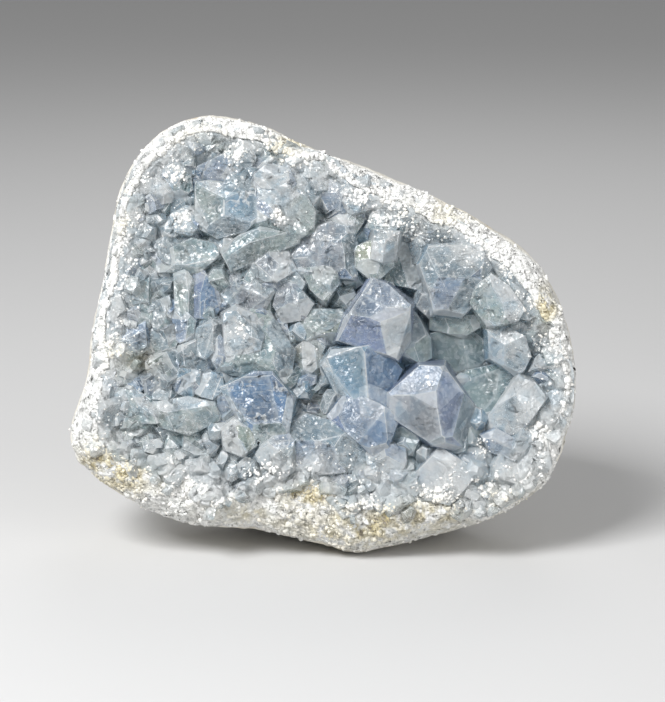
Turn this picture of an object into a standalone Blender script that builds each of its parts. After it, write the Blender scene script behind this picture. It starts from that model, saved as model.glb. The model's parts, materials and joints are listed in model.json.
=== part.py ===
"""Celestite cluster: a pale rock rind, hollow in front, lined with one crust of blue celestite crystals.

The stone is laid out in the frame of its open face, in millimetres: u runs right, v up along the face and
w out of the face, towards the viewer. It then leans back by FACE_LEAN_DEG and stands at Z = 0 on the small
flat spot under it, with the crystals facing -Y.
"""

import math
from typing import NamedTuple

import bmesh
import bpy
import numpy as np
from mathutils import Matrix, Vector

MM = 0.001

# Depth and stance of the whole stone
BACK_W = -70.0  # how far behind the face the back reaches
FACE_LEAN_DEG = 14.0
STAND_OFFSET = (-0.44, -30.3, 64.5)  # X, Y and Z of the face frame's origin above the floor

# Silhouette of the rind seen straight at the face, through which a smooth closed curve runs
OUTLINE = [
    (74.0, -1.0), (70.5, 12.5), (61.5, 26.5), (46.0, 37.0), (30.0, 45.5), (10.0, 53.5), (-6.0, 59.5),
    (-17.0, 64.8), (-29.0, 67.8), (-40.0, 66.6), (-50.0, 60.8), (-57.0, 51.5), (-61.5, 38.0), (-64.5, 21.0),
    (-67.8, 5.0), (-70.2, -11.0), (-74.8, -26.5), (-70.0, -36.5), (-57.0, -46.0), (-41.0, -52.8),
    (-21.0, -55.0), (-2.0, -59.2), (11.0, -61.8), (30.0, -57.8), (50.0, -51.4), (66.0, -41.0),
    (73.2, -25.0), (75.2, -12.0),
]

# The rim, by the angle round the face in degrees: how wide its band is, how high its inner line stands,
# where the widest section lies behind the face, and how boxy the back is there
RIM_ANGLES = [0, 45, 75, 95, 112, 135, 180, 200, 225, 250, 270, 290, 315, 335]
RIM_WIDTH = [6.0, 7.5, 5.0, 4.5, 7.0, 4.5, 4.5, 10.0, 14.0, 15.0, 15.5, 14.0, 9.5, 6.5]
RIM_LINE_W = [-3.0, -2.5, -2.0, -2.0, -1.5, -1.5, -2.0, -2.5, -3.5, -4.0, -4.0, -4.0, -3.5, -3.0]
WIDEST_W = [-14.0, -13.0, -12.0, -12.0, -12.0, -12.0, -13.0, -15.0, -18.0, -20.0, -20.0, -20.0, -18.0, -15.0]
BACK_POWER = [2.4, 2.3, 2.2, 2.2, 2.2, 2.3, 2.4, 2.8, 3.6, 4.4, 4.8, 4.4, 3.4, 2.7]
RIM_TUCK = 1.25  # power of the quarter round from the widest section to the rim's line

# The hollow: its deepest spot, the drop behind the rim and the deeper pocket round that spot
HOLLOW_CENTRE = (20.0, 6.0)
FACE_W = -2.5
WALL_DROP = 10.0
WALL_RUN = 3.2
POCKET_DROP = 13.0
POCKET_REACH = (30.0, 26.0)
LEVEL_REACH = 12.0

# Broad flats that time has ground on the back, each a direction and its distance from the stone's middle
STONE_MIDDLE = (0.0, 0.0, -30.0)
BACK_FLATS = [
    ((0.42, 0.38, -0.82), 46.0), ((-0.50, 0.22, -0.84), 45.0), ((-0.30, -0.38, -0.87), 42.0),
    ((0.62, -0.22, -0.75), 50.0), ((-0.12, 0.72, -0.68), 50.0), ((0.10, -0.10, -0.99), 41.0),
]
FLAT_SHARPNESS = 14.0
LUMP_FADE = 1.6  # how fast the lumps come up from the sides to the back
LUMP_HEIGHT = 1.3
LUMP_LENGTH = 31.0
SMALL_LUMP_HEIGHT = 0.5
SMALL_LUMP_LENGTH = 14.0

# Mesh density of the rind: segments round it, and rings over its back, its shoulder and its hollow
SEGMENTS = 64
BACK_RINGS = 12
SHOULDER_RINGS = 4
HOLLOW_RINGS = 6
HOLLOW_STEP_POWER = 1.6  # crowds the hollow's rings towards its wall
CURVE_STEPS = 12
SHARP_EDGE_DEG = 35.0

# The crust: clearance to the rock, its bed under the crystals, and the space that it may fill in front
ROCK_GAP = 0.4
BED_THICKNESS = 4.0
BED_OVERLAP = 3.0
BED_LUMP = 0.8
BED_EDGE_DROP = 0.8  # how far under the rim's line the bed starts
BED_RUN = 6.5  # how far in from the rim it takes to sink to its full depth
FRONT_LIMIT_W = 22.0
BLANK_SIZE = 90.0
ROOT_DEPTH = 7.0  # how far a crystal's foot runs below the hollow's floor and the bed's face

# The camera sees the crystals nearer than the rind, so larger: their outlines are drawn in to the view's centre
VIEW_CENTRE = (3.1, -1.8)
VIEW_SHRINK = 0.98
SIDE_FLARE = 0.14  # how much wider a crystal's sides stand for each millimetre down
SIDE_START = 2.0  # how far under its highest point a crystal has its outline

# Seeded crystals between the ones that are seen: rounds of (how many, least width, most width)
FILL_SEED = 4
FILL_ROUNDS = [(16, 8.0, 11.0), (44, 5.0, 7.5)]
FILL_TRIES = 6000
FILL_U = (-72.0, 74.0)
FILL_V = (-58.0, 66.0)
FILL_THICKNESS = (0.65, 1.0)  # as a share of the width
FILL_LEAN = 0.35
FILL_DROP = (0.5, 3.5)  # how far a tip stays below the face
FILL_HEIGHT = 1.3  # greatest height of a tip above the bed, as a share of the width
SEEN_SHARE = 0.9  # how much of a seen crystal's width keeps seeded ones off
FILL_SPACING = 0.37  # least distance between two crystals, as a share of the sum of their widths
FILL_EDGE = 0.5  # least distance from the rim's line

CELESTITE_IOR = 1.62
CELESTITE_BLUE = (0.52, 0.63, 0.76, 1.0)
RIND_CREAM = (0.76, 0.74, 0.68, 1.0)


class Habit(NamedTuple):
    """How a crystal ends: prism angle, slopes of roof and end faces, ridge length and blunt top as shares."""

    prism_deg: float
    roof_deg: float
    end_deg: float
    ridge: float
    blunt: float


CHISEL = Habit(32.0, 40.0, 52.0, 0.45, 0.05)
BLOCK = Habit(18.0, 27.0, 34.0, 0.55, 0.16)
PEAK = Habit(38.0, 50.0, 50.0, 0.10, 0.03)
SLAB = Habit(14.0, 15.0, 24.0, 0.70, 0.12)


class Seen(NamedTuple):
    """A crystal as it is seen from the front: the corners of its outline and its front faces."""

    outline: list
    faces: list


class Crystal(NamedTuple):
    """A crystal by its tip in the face frame, width, thickness, roll in degrees, lean and habit."""

    u: float
    v: float
    w: float
    width: float
    thickness: float
    roll: float
    lean: tuple
    habit: Habit


# The crystals that can be told apart in the photograph, each as outline corners (u, v) and the faces that
# close it in front: a point (u, v, w) and how fast the face rises along u and along v
POCKET = [
    Seen([(15.0, 18.2), (19.0, 17.0), (25.5, 11.5), (25.0, 2.0), (22.0, -2.8), (6.0, 2.3), (8.0, 8.0)],
         [(15.5, 8.5, 4.5, 0.0, -0.5), (15.5, 8.5, 4.5, 0.25, 0.45), (15.5, 8.5, 4.5, -0.2, 0.45)]),
    Seen([(24.5, 9.5), (28.0, 8.5), (31.5, 2.0), (32.0, -3.0), (28.5, -5.0), (23.5, -2.5)],
         [(27.5, 1.5, -3.5, 0.0, -0.35), (27.5, 1.5, -3.5, -0.1, 0.35), (29.5, 1.5, -4.0, -0.7, 0.0)]),
    Seen([(0.8, -6.0), (3.5, -2.0), (15.5, -0.4), (18.5, -2.5), (22.5, -7.5), (18.0, -18.5), (6.5, -16.5)],
         [(13.0, -7.0, -0.5, 0.12, 0.05), (13.0, -7.0, -0.5, -0.5, 0.0), (2.4, -8.5, -1.8, 0.97, 0.7)]),
    Seen([(2.8, -21.5), (6.8, -16.3), (9.8, -14.8), (16.5, -18.0), (22.3, -21.0), (19.0, -30.0), (15.0, -32.0)],
         [(14.0, -20.0, 0.8, -0.05, 0.18), (12.0, -20.0, 0.8, 0.42, 0.05), (18.8, -22.0, 0.2, -0.7, 0.1),
          (14.0, -20.0, 0.8, 0.1, -0.25)]),
    Seen([(20.5, -15.5), (29.5, -7.3), (36.0, -7.3), (46.0, -21.5), (40.0, -30.0), (33.0, -28.5), (20.5, -20.0)],
         [(32.5, -10.0, 4.5, 0.38, 0.185), (32.5, -10.0, 4.5, -0.55, 0.02), (41.5, -18.0, -0.6, -1.2, 0.2),
          (32.8, -12.8, 4.1, 0.48, -0.35), (35.5, -27.0, 2.5, 0.0, 0.9)]),
    Seen([(35.0, -31.3), (46.0, -38.0), (38.0, -47.0), (31.0, -45.5), (27.0, -40.5)],
         [(37.0, -36.0, -0.5, 0.3, 0.1), (37.0, -36.0, -0.5, -0.3, 0.12), (36.0, -34.0, -0.6, 0.0, -0.5)]),
    Seen([(41.0, -12.0), (44.0, -8.3), (52.0, -6.5), (58.5, -8.5), (50.5, -22.0), (47.0, -23.0)],
         [(50.0, -13.0, -7.0, 0.05, -0.15)]),
    Seen([(50.0, -22.5), (58.7, -9.8), (62.5, -11.0), (66.5, -16.0), (60.0, -24.5), (54.5, -27.0), (50.5, -25.8)],
         [(60.0, -18.0, -1.0, -0.05, -0.05), (57.0, -19.0, -1.0, 0.35, 0.3), (55.8, -17.5, -1.0, 0.9, -0.6)]),
    Seen([(33.5, 9.8), (46.0, 9.6), (46.8, 5.5), (42.0, 2.8), (33.5, 5.0)],
         [(40.0, 7.0, -7.5, 0.05, 0.25), (37.5, 7.0, -7.6, 0.4, 0.1)]),
    Seen([(31.0, 2.5), (38.0, 4.5), (46.5, 4.5), (51.5, -1.5), (42.0, -11.0), (31.5, -4.5)],
         [(43.0, -2.0, -10.5, 0.08, 0.1), (43.0, -2.0, -10.5, -0.2, 0.05)]),
    Seen([(30.0, 23.5), (32.5, 28.8), (46.0, 30.0), (49.5, 23.0), (46.0, 14.0), (41.5, 9.8), (33.0, 10.5)],
         [(40.0, 20.0, 1.0, 0.0, -0.3), (40.0, 20.0, 1.0, 0.02, 0.35), (34.0, 20.0, 0.6, 0.7, 0.0),
          (46.5, 20.0, 1.0, -0.6, 0.1)]),
    Seen([(46.5, 29.0), (50.5, 28.5), (51.5, 24.5), (50.0, 21.0), (46.5, 22.5)],
         [(49.0, 25.0, -3.0, 0.1, 0.3), (49.0, 25.0, -3.0, -0.4, -0.1)]),
    Seen([(51.5, 27.5), (56.0, 28.0), (59.5, 23.5), (58.0, 20.0), (52.5, 20.0)],
         [(55.0, 24.0, -3.0, 0.25, 0.2), (55.0, 24.0, -3.0, -0.35, -0.1)]),
    Seen([(45.3, 12.5), (46.2, 17.0), (50.5, 20.5), (55.0, 17.0), (59.5, 11.0), (57.5, 7.5), (50.0, 6.3)],
         [(51.5, 15.0, 1.5, 0.45, 0.1), (51.5, 15.0, 1.5, -0.35, -0.15), (52.0, 9.5, 1.0, 0.0, 0.5)]),
    Seen([(55.0, 17.0), (60.5, 18.0), (64.8, 15.0), (65.5, 10.5), (61.5, 8.0), (57.0, 9.5)],
         [(60.5, 13.5, -2.0, 0.35, 0.1), (60.5, 13.5, -2.0, -0.45, 0.05), (60.5, 13.5, -2.0, -0.05, -0.5)]),
    Seen([(50.3, 3.8), (54.5, 5.0), (60.0, 2.0), (61.5, -3.0), (59.0, -9.0), (51.0, -3.5)],
         [(55.0, -1.0, -1.5, 0.5, 0.15), (55.0, -1.0, -1.5, -0.25, 0.2), (55.0, 1.0, -1.4, 0.0, -0.6)]),
    Seen([(48.5, -27.5), (52.5, -25.8), (57.0, -28.5), (59.0, -32.0), (57.0, -34.0), (51.0, -31.5)],
         [(53.5, -29.5, -2.0, 0.2, 0.3), (53.5, -29.5, -2.0, -0.15, -0.35)]),
    Seen([(20.0, 22.0), (21.0, 28.0), (24.0, 31.0), (30.8, 27.5), (29.5, 16.8), (22.0, 19.0)],
         [(26.0, 23.0, -7.5, 0.3, 0.1), (26.0, 23.0, -7.5, -0.35, -0.2)]),
    Seen([(10.5, 28.8), (15.0, 30.5), (20.5, 29.0), (20.5, 24.0), (16.0, 19.5), (10.5, 23.8)],
         [(15.0, 25.0, -2.0, 0.35, 0.2), (15.0, 25.0, -2.0, -0.35, 0.3), (15.0, 26.0, -1.9, 0.0, -0.3)]),
    Seen([(16.0, 33.5), (22.5, 33.0), (21.0, 26.5), (18.5, 25.3), (15.5, 26.5)],
         [(18.5, 29.5, 1.5, 0.3, 0.2), (18.5, 29.5, 1.5, -0.35, 0.25), (18.5, 30.5, 1.5, 0.0, -0.35)]),
]
MIDDLE = [
    Seen([(-8.5, 8.0), (-6.0, 10.3), (5.3, 10.3), (6.2, 7.5), (3.8, 1.5), (-3.0, 1.3), (-8.0, 4.0)],
         [(0.0, 6.5, -4.5, 0.08, -0.3), (0.0, 6.5, -4.5, -0.1, 0.3), (-4.0, 6.5, -4.6, 0.5, 0.1)]),
    Seen([(-5.2, 22.3), (0.8, 23.0), (3.8, 22.3), (4.2, 18.5), (0.8, 13.3), (-2.5, 17.0)],
         [(0.8, 18.0, -0.5, 0.45, 0.15), (0.8, 18.0, -0.5, -0.5, 0.2), (0.8, 20.0, -0.3, 0.0, -0.25)]),
    Seen([(-8.5, 27.0), (-2.5, 35.0), (3.0, 36.0), (8.5, 34.0), (10.0, 28.5), (9.5, 20.5), (-5.0, 21.0)],
         [(2.0, 28.0, -1.0, 0.25, 0.05), (4.0, 28.0, -1.0, -0.4, 0.0), (2.0, 30.0, -1.0, 0.0, -0.4),
          (2.0, 25.0, -1.1, 0.05, 0.4)]),
    Seen([(-14.0, 12.5), (-12.0, 17.5), (-8.5, 18.5), (-3.5, 12.5), (-6.0, 8.5), (-11.5, 7.7)],
         [(-9.0, 14.0, -2.5, 0.35, -0.1), (-9.0, 14.0, -2.5, -0.3, 0.0), (-9.0, 12.0, -2.4, 0.0, 0.45)]),
    Seen([(-30.0, 16.0), (-26.0, 21.5), (-20.0, 21.5), (-15.0, 16.0), (-18.0, 10.5), (-27.0, 11.0)],
         [(-23.0, 16.0, -2.5, 0.3, 0.1), (-23.0, 16.0, -2.5, -0.2, -0.3), (-22.0, 14.0, -2.6, -0.1, 0.5)]),
    Seen([(-25.0, 23.5), (-18.0, 27.5), (-11.0, 27.5), (-8.5, 22.5), (-14.0, 19.5), (-22.0, 20.0)],
         [(-16.0, 24.0, -1.0, 0.15, -0.3), (-16.0, 24.0, -1.0, -0.25, 0.2), (-19.0, 23.0, -1.4, 0.4, 0.4)]),
    Seen([(-9.0, -2.0), (-5.5, 1.0), (-0.8, -2.5), (0.0, -7.5), (-4.0, -11.0), (-9.0, -9.5)],
         [(-4.0, -3.0, -5.5, 0.4, 0.1), (-4.0, -3.0, -5.5, -0.5, 0.0), (-4.0, -5.0, -5.6, 0.05, 0.4)]),
    Seen([(0.5, -11.0), (5.5, -17.0), (3.0, -22.0), (-1.0, -23.0), (-1.0, -13.5)],
         [(2.0, -17.0, -9.0, 0.3, 0.2), (2.0, -17.0, -9.0, -0.4, -0.1)]),
    Seen([(-28.0, -4.0), (-21.0, 10.0), (-16.0, 9.0), (-9.3, -1.5), (-10.0, -8.5), (-20.0, -9.3), (-27.0, -8.0)],
         [(-17.0, -3.0, -1.5, -0.05, -0.1), (-12.5, -3.0, -1.7, -0.5, 0.0), (-22.0, -6.0, -1.1, 0.15, 0.5)]),
    Seen([(-29.0, 8.5), (-25.5, 10.8), (-20.5, 8.0), (-18.0, 2.5), (-19.0, -0.8), (-28.3, -3.8)],
         [(-24.0, 3.0, 1.2, 0.1, 0.12), (-24.0, 1.5, 1.1, 0.05, 0.3), (-22.0, 5.0, 1.6, -0.45, -0.3)]),
    Seen([(-29.5, -13.0), (-20.0, -8.8), (-15.0, -8.8), (-9.3, -16.0), (-10.5, -25.5), (-20.5, -29.5)],
         [(-18.0, -17.0, 0.8, 0.05, 0.02), (-11.2, -17.0, 1.1, -1.0, -0.2), (-19.0, -10.3, 0.9, 0.1, -0.9),
          (-17.0, -21.5, 0.8, 0.02, 0.4), (-26.5, -15.0, 0.4, 0.8, 0.2)]),
]
UPPER = [
    Seen([(-37.0, 48.0), (-30.3, 48.5), (-20.3, 47.5), (-20.0, 37.5), (-23.5, 34.5), (-31.0, 32.8), (-37.0, 36.0)],
         [(-30.4, 42.0, 1.5, 0.3, 0.0), (-30.4, 42.0, 1.5, -0.12, 0.05), (-28.0, 46.3, 1.4, 0.05, -0.5),
          (-28.0, 36.0, 1.0, 0.0, 0.6)]),
    Seen([(-30.0, 46.5), (-27.0, 50.5), (-23.0, 52.5), (-20.0, 52.0), (-20.0, 44.0), (-26.0, 44.0)],
         [(-25.0, 48.0, 0.8, -0.15, -0.25)]),
    Seen([(-20.3, 47.0), (-14.0, 48.5), (-6.0, 45.0), (-3.0, 40.0), (-3.5, 34.5), (-9.0, 32.3), (-20.3, 35.0)],
         [(-14.2, 41.0, 2.0, 0.35, 0.05), (-14.2, 41.0, 2.0, -0.25, 0.1), (-10.0, 36.5, 0.6, 0.0, 0.6),
          (-12.0, 44.0, 1.6, 0.0, -0.5)]),
    Seen([(-19.5, 50.5), (-16.0, 53.5), (-10.5, 52.0), (-8.5, 48.0), (-10.5, 45.0), (-19.5, 47.0)],
         [(-14.0, 49.0, 1.2, 0.2, 0.2), (-14.0, 49.0, 1.2, -0.3, 0.0), (-14.0, 50.0, 1.2, 0.0, -0.5)]),
    Seen([(-11.0, 49.5), (-6.0, 50.0), (-1.0, 46.5), (-1.5, 43.0), (-5.0, 40.5), (-10.0, 44.0)],
         [(-6.0, 46.0, -0.8, 0.2, 0.2), (-6.0, 46.0, -0.8, -0.35, 0.0), (-6.0, 47.5, -0.8, 0.0, -0.5)]),
    Seen([(-29.8, 28.5), (-20.0, 35.2), (-16.0, 34.0), (-7.5, 32.2), (-8.0, 30.5), (-26.5, 22.5)],
         [(-21.0, 30.0, 0.5, 0.18, -0.3), (-21.0, 30.0, 0.5, -0.18, 0.3)]),
    Seen([(-35.2, 50.0), (-33.5, 54.0), (-29.5, 56.3), (-24.8, 53.0), (-28.5, 47.8), (-33.0, 48.3)],
         [(-30.0, 52.0, 0.5, 0.25, 0.1), (-30.0, 52.0, 0.5, -0.25, -0.2), (-30.0, 50.5, 0.4, 0.0, 0.5)]),
    Seen([(-26.5, 60.0), (-21.5, 59.5), (-20.6, 55.5), (-24.0, 50.3), (-26.5, 51.0)],
         [(-24.0, 56.0, 0.8, 0.35, 0.1), (-24.0, 56.0, 0.8, -0.35, 0.15), (-24.0, 57.0, 0.8, 0.0, -0.35)]),
    Seen([(-47.0, 52.0), (-43.5, 55.3), (-40.0, 53.0), (-39.5, 47.0), (-42.5, 44.0), (-46.5, 46.5)],
         [(-43.0, 50.0, -1.2, 0.35, 0.1), (-43.0, 50.0, -1.2, -0.4, 0.0), (-43.0, 48.5, -1.3, 0.0, 0.45)]),
    Seen([(-52.5, 49.0), (-48.0, 49.5), (-44.8, 46.5), (-45.8, 43.5), (-50.0, 42.3), (-53.0, 45.5)],
         [(-48.5, 46.5, -0.8, 0.25, 0.2), (-48.5, 46.5, -0.8, -0.4, -0.1), (-49.0, 45.0, -1.0, 0.1, 0.5)]),
    Seen([(-49.0, 22.5), (-45.0, 28.5), (-39.0, 31.0), (-31.5, 30.0), (-30.5, 27.0), (-37.0, 22.3)],
         [(-40.0, 27.0, -0.8, 0.05, -0.25), (-40.0, 27.0, -0.8, 0.0, 0.3), (-44.0, 26.0, -0.9, 0.5, -0.1)]),
    Seen([(-44.5, 38.5), (-42.0, 41.0), (-38.5, 40.5), (-37.0, 36.0), (-39.5, 33.5), (-43.5, 34.5)],
         [(-41.0, 37.0, -1.0, 0.3, 0.15), (-41.0, 37.0, -1.0, -0.35, -0.2)]),
    Seen([(-39.0, 22.3), (-36.0, 22.8), (-32.0, 16.5), (-31.0, 12.0), (-34.0, 8.5), (-38.8, 9.0)],
         [(-36.0, 15.0, -2.0, 0.4, 0.0), (-36.0, 15.0, -2.0, -0.35, 0.1)]),
    Seen([(-44.0, 20.5), (-40.5, 22.0), (-38.6, 18.0), (-38.6, 9.0), (-41.5, 7.0), (-43.5, 10.0)],
         [(-40.5, 15.0, -1.0, 0.3, 0.05), (-40.5, 15.0, -1.0, -0.5, 0.0), (-40.5, 12.0, -1.1, 0.0, 0.35)]),
    Seen([(-59.8, 19.5), (-57.5, 21.3), (-55.0, 19.0), (-55.5, 15.5), (-58.5, 15.0)],
         [(-57.5, 18.0, -2.0, 0.3, 0.2), (-57.5, 18.0, -2.0, -0.4, -0.1)]),
    Seen([(-51.0, 28.0), (-48.5, 31.0), (-46.0, 29.0), (-46.0, 25.5), (-49.0, 24.0)],
         [(-48.5, 27.5, -3.5, 0.3, 0.1), (-48.5, 27.5, -3.5, -0.4, -0.1)]),
    Seen([(-0.5, 51.5), (4.5, 51.0), (6.0, 47.5), (5.0, 42.5), (1.5, 40.8), (-0.8, 44.0)],
         [(2.5, 46.8, -2.0, 0.1, -0.4), (2.5, 46.8, -2.0, -0.1, 0.35)]),
    Seen([(6.0, 49.0), (11.0, 48.5), (15.5, 45.0), (14.0, 41.5), (9.0, 39.5), (6.0, 43.0)],
         [(10.0, 44.5, -1.0, 0.3, 0.1), (10.0, 44.5, -1.0, -0.3, 0.2), (10.0, 46.0, -1.0, 0.0, -0.45)]),
]
LOWER = [
    Seen([(-36.8, -2.5), (-36.3, 4.5), (-33.0, 6.8), (-30.5, 6.0), (-31.5, 0.0), (-34.5, -3.5)],
         [(-33.8, 3.0, 0.5, 0.55, 0.0), (-33.8, 3.0, 0.5, -0.5, 0.15)]),
    Seen([(-34.0, -1.5), (-30.5, 2.5), (-28.3, -1.0), (-28.5, -6.0), (-31.0, -7.3)],
         [(-30.5, -2.0, -0.8, 0.3, 0.1), (-30.5, -2.0, -0.8, -0.5, 0.2)]),
    Seen([(-44.0, -9.5), (-41.0, -7.0), (-37.0, -8.5), (-36.5, -13.5), (-40.0, -15.0), (-43.5, -13.5)],
         [(-40.0, -10.5, -1.5, 0.3, -0.2), (-40.0, -10.5, -1.5, -0.35, 0.2), (-40.0, -12.0, -1.6, 0.0, 0.5)]),
    Seen([(-38.0, -9.0), (-34.0, -8.0), (-30.5, -10.0), (-30.0, -13.5), (-33.0, -15.5), (-37.0, -14.5)],
         [(-34.0, -11.0, -1.2, 0.3, -0.1), (-34.0, -11.0, -1.2, -0.3, 0.15)]),
    Seen([(-50.0, -3.0), (-44.5, -2.5), (-43.5, -8.5), (-49.0, -9.5)],
         [(-47.0, -6.0, -3.0, 0.2, 0.2), (-47.0, -6.0, -3.0, -0.35, -0.1)]),
    Seen([(-43.0, -1.0), (-38.0, 1.0), (-34.5, -3.0), (-35.5, -7.0), (-42.0, -7.0)],
         [(-39.0, -3.5, -1.8, 0.3, 0.1), (-39.0, -3.5, -1.8, -0.3, 0.2)]),
    Seen([(-59.0, -10.5), (-52.0, -9.3), (-49.5, -12.0), (-54.0, -14.5), (-58.5, -13.0)],
         [(-54.0, -11.5, -4.0, 0.1, 0.3), (-54.0, -11.5, -4.0, -0.1, -0.3)]),
    Seen([(-60.5, -13.5), (-56.0, -13.8), (-48.5, -19.0), (-49.0, -23.0), (-57.0, -22.5), (-61.0, -18.0)],
         [(-54.5, -18.0, -1.0, 0.1, 0.25), (-54.5, -17.0, -0.8, -0.5, -0.7), (-57.0, -18.0, -1.2, 0.5, 0.1)]),
    Seen([(-49.5, -17.5), (-40.0, -16.5), (-33.0, -17.5), (-31.0, -22.0), (-40.0, -26.0), (-48.0, -24.0)],
         [(-40.0, -18.5, -0.4, 0.02, 0.25), (-40.0, -18.5, -0.4, 0.0, -0.7), (-37.0, -21.0, -1.0, -0.3, 0.3)]),
    Seen([(-29.3, -25.0), (-26.0, -22.5), (-22.0, -25.0), (-20.3, -29.5), (-24.0, -32.3), (-28.5, -30.5)],
         [(-25.0, -27.0, 0.6, 0.35, 0.1), (-25.0, -27.0, 0.6, -0.3, 0.15), (-25.0, -26.0, 0.6, 0.0, -0.45)]),
    Seen([(-19.3, -33.5), (-16.5, -29.0), (-11.0, -26.3), (-8.8, -29.0), (-8.5, -36.0), (-12.0, -39.5)],
         [(-13.0, -33.0, 1.5, 0.4, 0.1), (-13.0, -33.0, 1.5, -0.2, 0.15), (-13.0, -31.0, 1.5, 0.05, -0.45)]),
    Seen([(-10.0, -24.0), (-5.0, -21.5), (2.0, -23.5), (13.5, -31.5), (12.0, -37.0), (-6.0, -38.5), (-10.0, -33.0)],
         [(1.0, -28.0, -0.2, 0.1, -0.35), (1.0, -28.0, -0.2, 0.08, 0.2), (6.0, -29.0, 0.0, -0.35, 0.1)]),
    Seen([(14.0, -32.5), (19.5, -29.5), (24.0, -31.5), (24.5, -36.0), (19.0, -38.5), (14.5, -36.5)],
         [(19.0, -33.5, -1.2, 0.3, 0.1), (19.0, -33.5, -1.2, -0.3, -0.1), (19.0, -35.0, -1.3, 0.0, 0.4)]),
    Seen([(-60.0, 9.0), (-56.0, 13.0), (-51.0, 13.0), (-50.0, 7.0), (-55.0, 4.0)],
         [(-55.5, 9.0, -2.5, 0.3, 0.15), (-55.5, 9.0, -2.5, -0.25, -0.2)]),
    Seen([(-50.5, 12.0), (-46.0, 14.0), (-44.5, 8.0), (-48.0, 4.5), (-51.0, 6.0)],
         [(-48.0, 9.0, -1.6, 0.35, 0.0), (-48.0, 9.0, -1.6, -0.4, 0.15)]),
    Seen([(-44.5, 9.0), (-41.5, 10.5), (-38.5, 7.0), (-39.0, 2.5), (-42.5, 1.5), (-45.0, 4.5)],
         [(-41.5, 6.0, -1.0, 0.4, 0.1), (-41.5, 6.0, -1.0, -0.45, 0.1)]),
    Seen([(-52.0, 4.0), (-47.0, 4.5), (-44.0, 1.0), (-45.5, -3.0), (-50.5, -2.5)],
         [(-48.0, 1.0, -2.6, 0.3, -0.1), (-48.0, 1.0, -2.6, -0.3, 0.2)]),
]
SEEN_CRYSTALS = POCKET + MIDDLE + UPPER + LOWER


def clear_scene():
    """Removes every object of the open file."""
    for obj in list(bpy.data.objects):
        bpy.data.objects.remove(obj, do_unlink=True)


def new_collection(name):
    """A new collection in the scene."""
    collection = bpy.data.collections.new(name)
    bpy.context.scene.collection.children.link(collection)
    return collection


def stance():
    """The matrix from the face frame in millimetres to the standing stone in metres."""
    lean = math.radians(FACE_LEAN_DEG)
    axes = Matrix((
        (1.0, 0.0, 0.0, STAND_OFFSET[0]),
        (0.0, math.sin(lean), -math.cos(lean), STAND_OFFSET[1]),
        (0.0, math.cos(lean), math.sin(lean), STAND_OFFSET[2]),
        (0.0, 0.0, 0.0, 1.0),
    ))
    return Matrix.Scale(MM, 4) @ axes


def outline_radius(angle):
    """Distance from the face's origin to the silhouette at each angle, from a closed Catmull-Rom curve."""
    points = np.array(OUTLINE)
    before, after, beyond = (np.roll(points, -shift, axis=0) for shift in (-1, 1, 2))
    t = np.linspace(0.0, 1.0, CURVE_STEPS, endpoint=False)[None, :, None]
    p0, p1, p2, p3 = (p[:, None, :] for p in (before, points, after, beyond))
    curve = 0.5 * (
        2 * p1 + (p2 - p0) * t + (2 * p0 - 5 * p1 + 4 * p2 - p3) * t**2 + (3 * p1 - p0 - 3 * p2 + p3) * t**3
    )
    u, v = curve.reshape(-1, 2).T
    return np.interp(angle, np.arctan2(v, u), np.hypot(u, v), period=2 * math.pi)


def round_rim(values, angle):
    """A value given at RIM_ANGLES, read at each angle."""
    return np.interp(np.degrees(angle), RIM_ANGLES, values, period=360.0)


def lumps(points, length):
    """Gentle lumps from -1 to 1: a sum of three waves across each other."""
    u, v, w = points.T * (2 * math.pi / length)
    first = np.sin(u + 1.3 * np.sin(0.7 * v + 0.4))
    second = np.sin(1.1 * v + 1.7 * np.sin(0.6 * w))
    third = np.sin(0.9 * w + 1.1 * u)
    return (first + second + third) / 3


def weathered(points):
    """Points of the back, taken in to the ground flats and raised by the lumps, along lines from its middle."""
    away = points - np.array(STONE_MIDDLE)
    reach = np.linalg.norm(away, axis=1)
    ray = away / reach[:, None]
    closeness = reach**-FLAT_SHARPNESS
    for direction, distance in BACK_FLATS:
        normal = np.array(direction) / np.linalg.norm(direction)
        closeness = closeness + (np.maximum(ray @ normal, 0.0) / distance) ** FLAT_SHARPNESS
    behind = np.clip(-ray[:, 2] * LUMP_FADE, 0.0, 1.0)
    relief = LUMP_HEIGHT * lumps(points, LUMP_LENGTH) + SMALL_LUMP_HEIGHT * lumps(points, SMALL_LUMP_LENGTH)
    return np.array(STONE_MIDDLE) + ray * (closeness ** (-1 / FLAT_SHARPNESS) + behind * relief)[:, None]


def back_point(angle, share):
    """The back, from its middle at share 0 to the widest section at 1: a superellipse in each direction."""
    slope = (share - 1) * math.pi / 2
    power = round_rim(BACK_POWER, angle)
    widest = round_rim(WIDEST_W, angle)
    out, back = np.cos(slope) / outline_radius(angle), -np.sin(slope) / (widest - BACK_W)
    reach = (np.abs(out) ** power + np.abs(back) ** power) ** (-1 / power)
    across = reach * np.cos(slope)
    points = np.stack([across * np.cos(angle), across * np.sin(angle), widest + reach * np.sin(slope)], axis=1)
    return weathered(points)


def rim_line(angle, inset):
    """The line where the rock gives way to crystals, moved in by inset."""
    radius = outline_radius(angle) - round_rim(RIM_WIDTH, angle) - inset
    return radius * np.cos(angle), radius * np.sin(angle)


def shoulder_point(angle, share):
    """The rounded rim, from the widest section at share 0 to the rim's line at 1: a quarter of an ellipse."""
    edge = back_point(angle, np.ones_like(angle))
    u, v = rim_line(angle, 0.0)
    turn = share * math.pi / 2
    inward = (1 - np.cos(turn)) ** RIM_TUCK
    rise = np.sin(turn)
    w = edge[:, 2] + (round_rim(RIM_LINE_W, angle) - edge[:, 2]) * rise
    return np.stack([edge[:, 0] + (u - edge[:, 0]) * inward, edge[:, 1] + (v - edge[:, 1]) * inward, w], axis=1)


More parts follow.
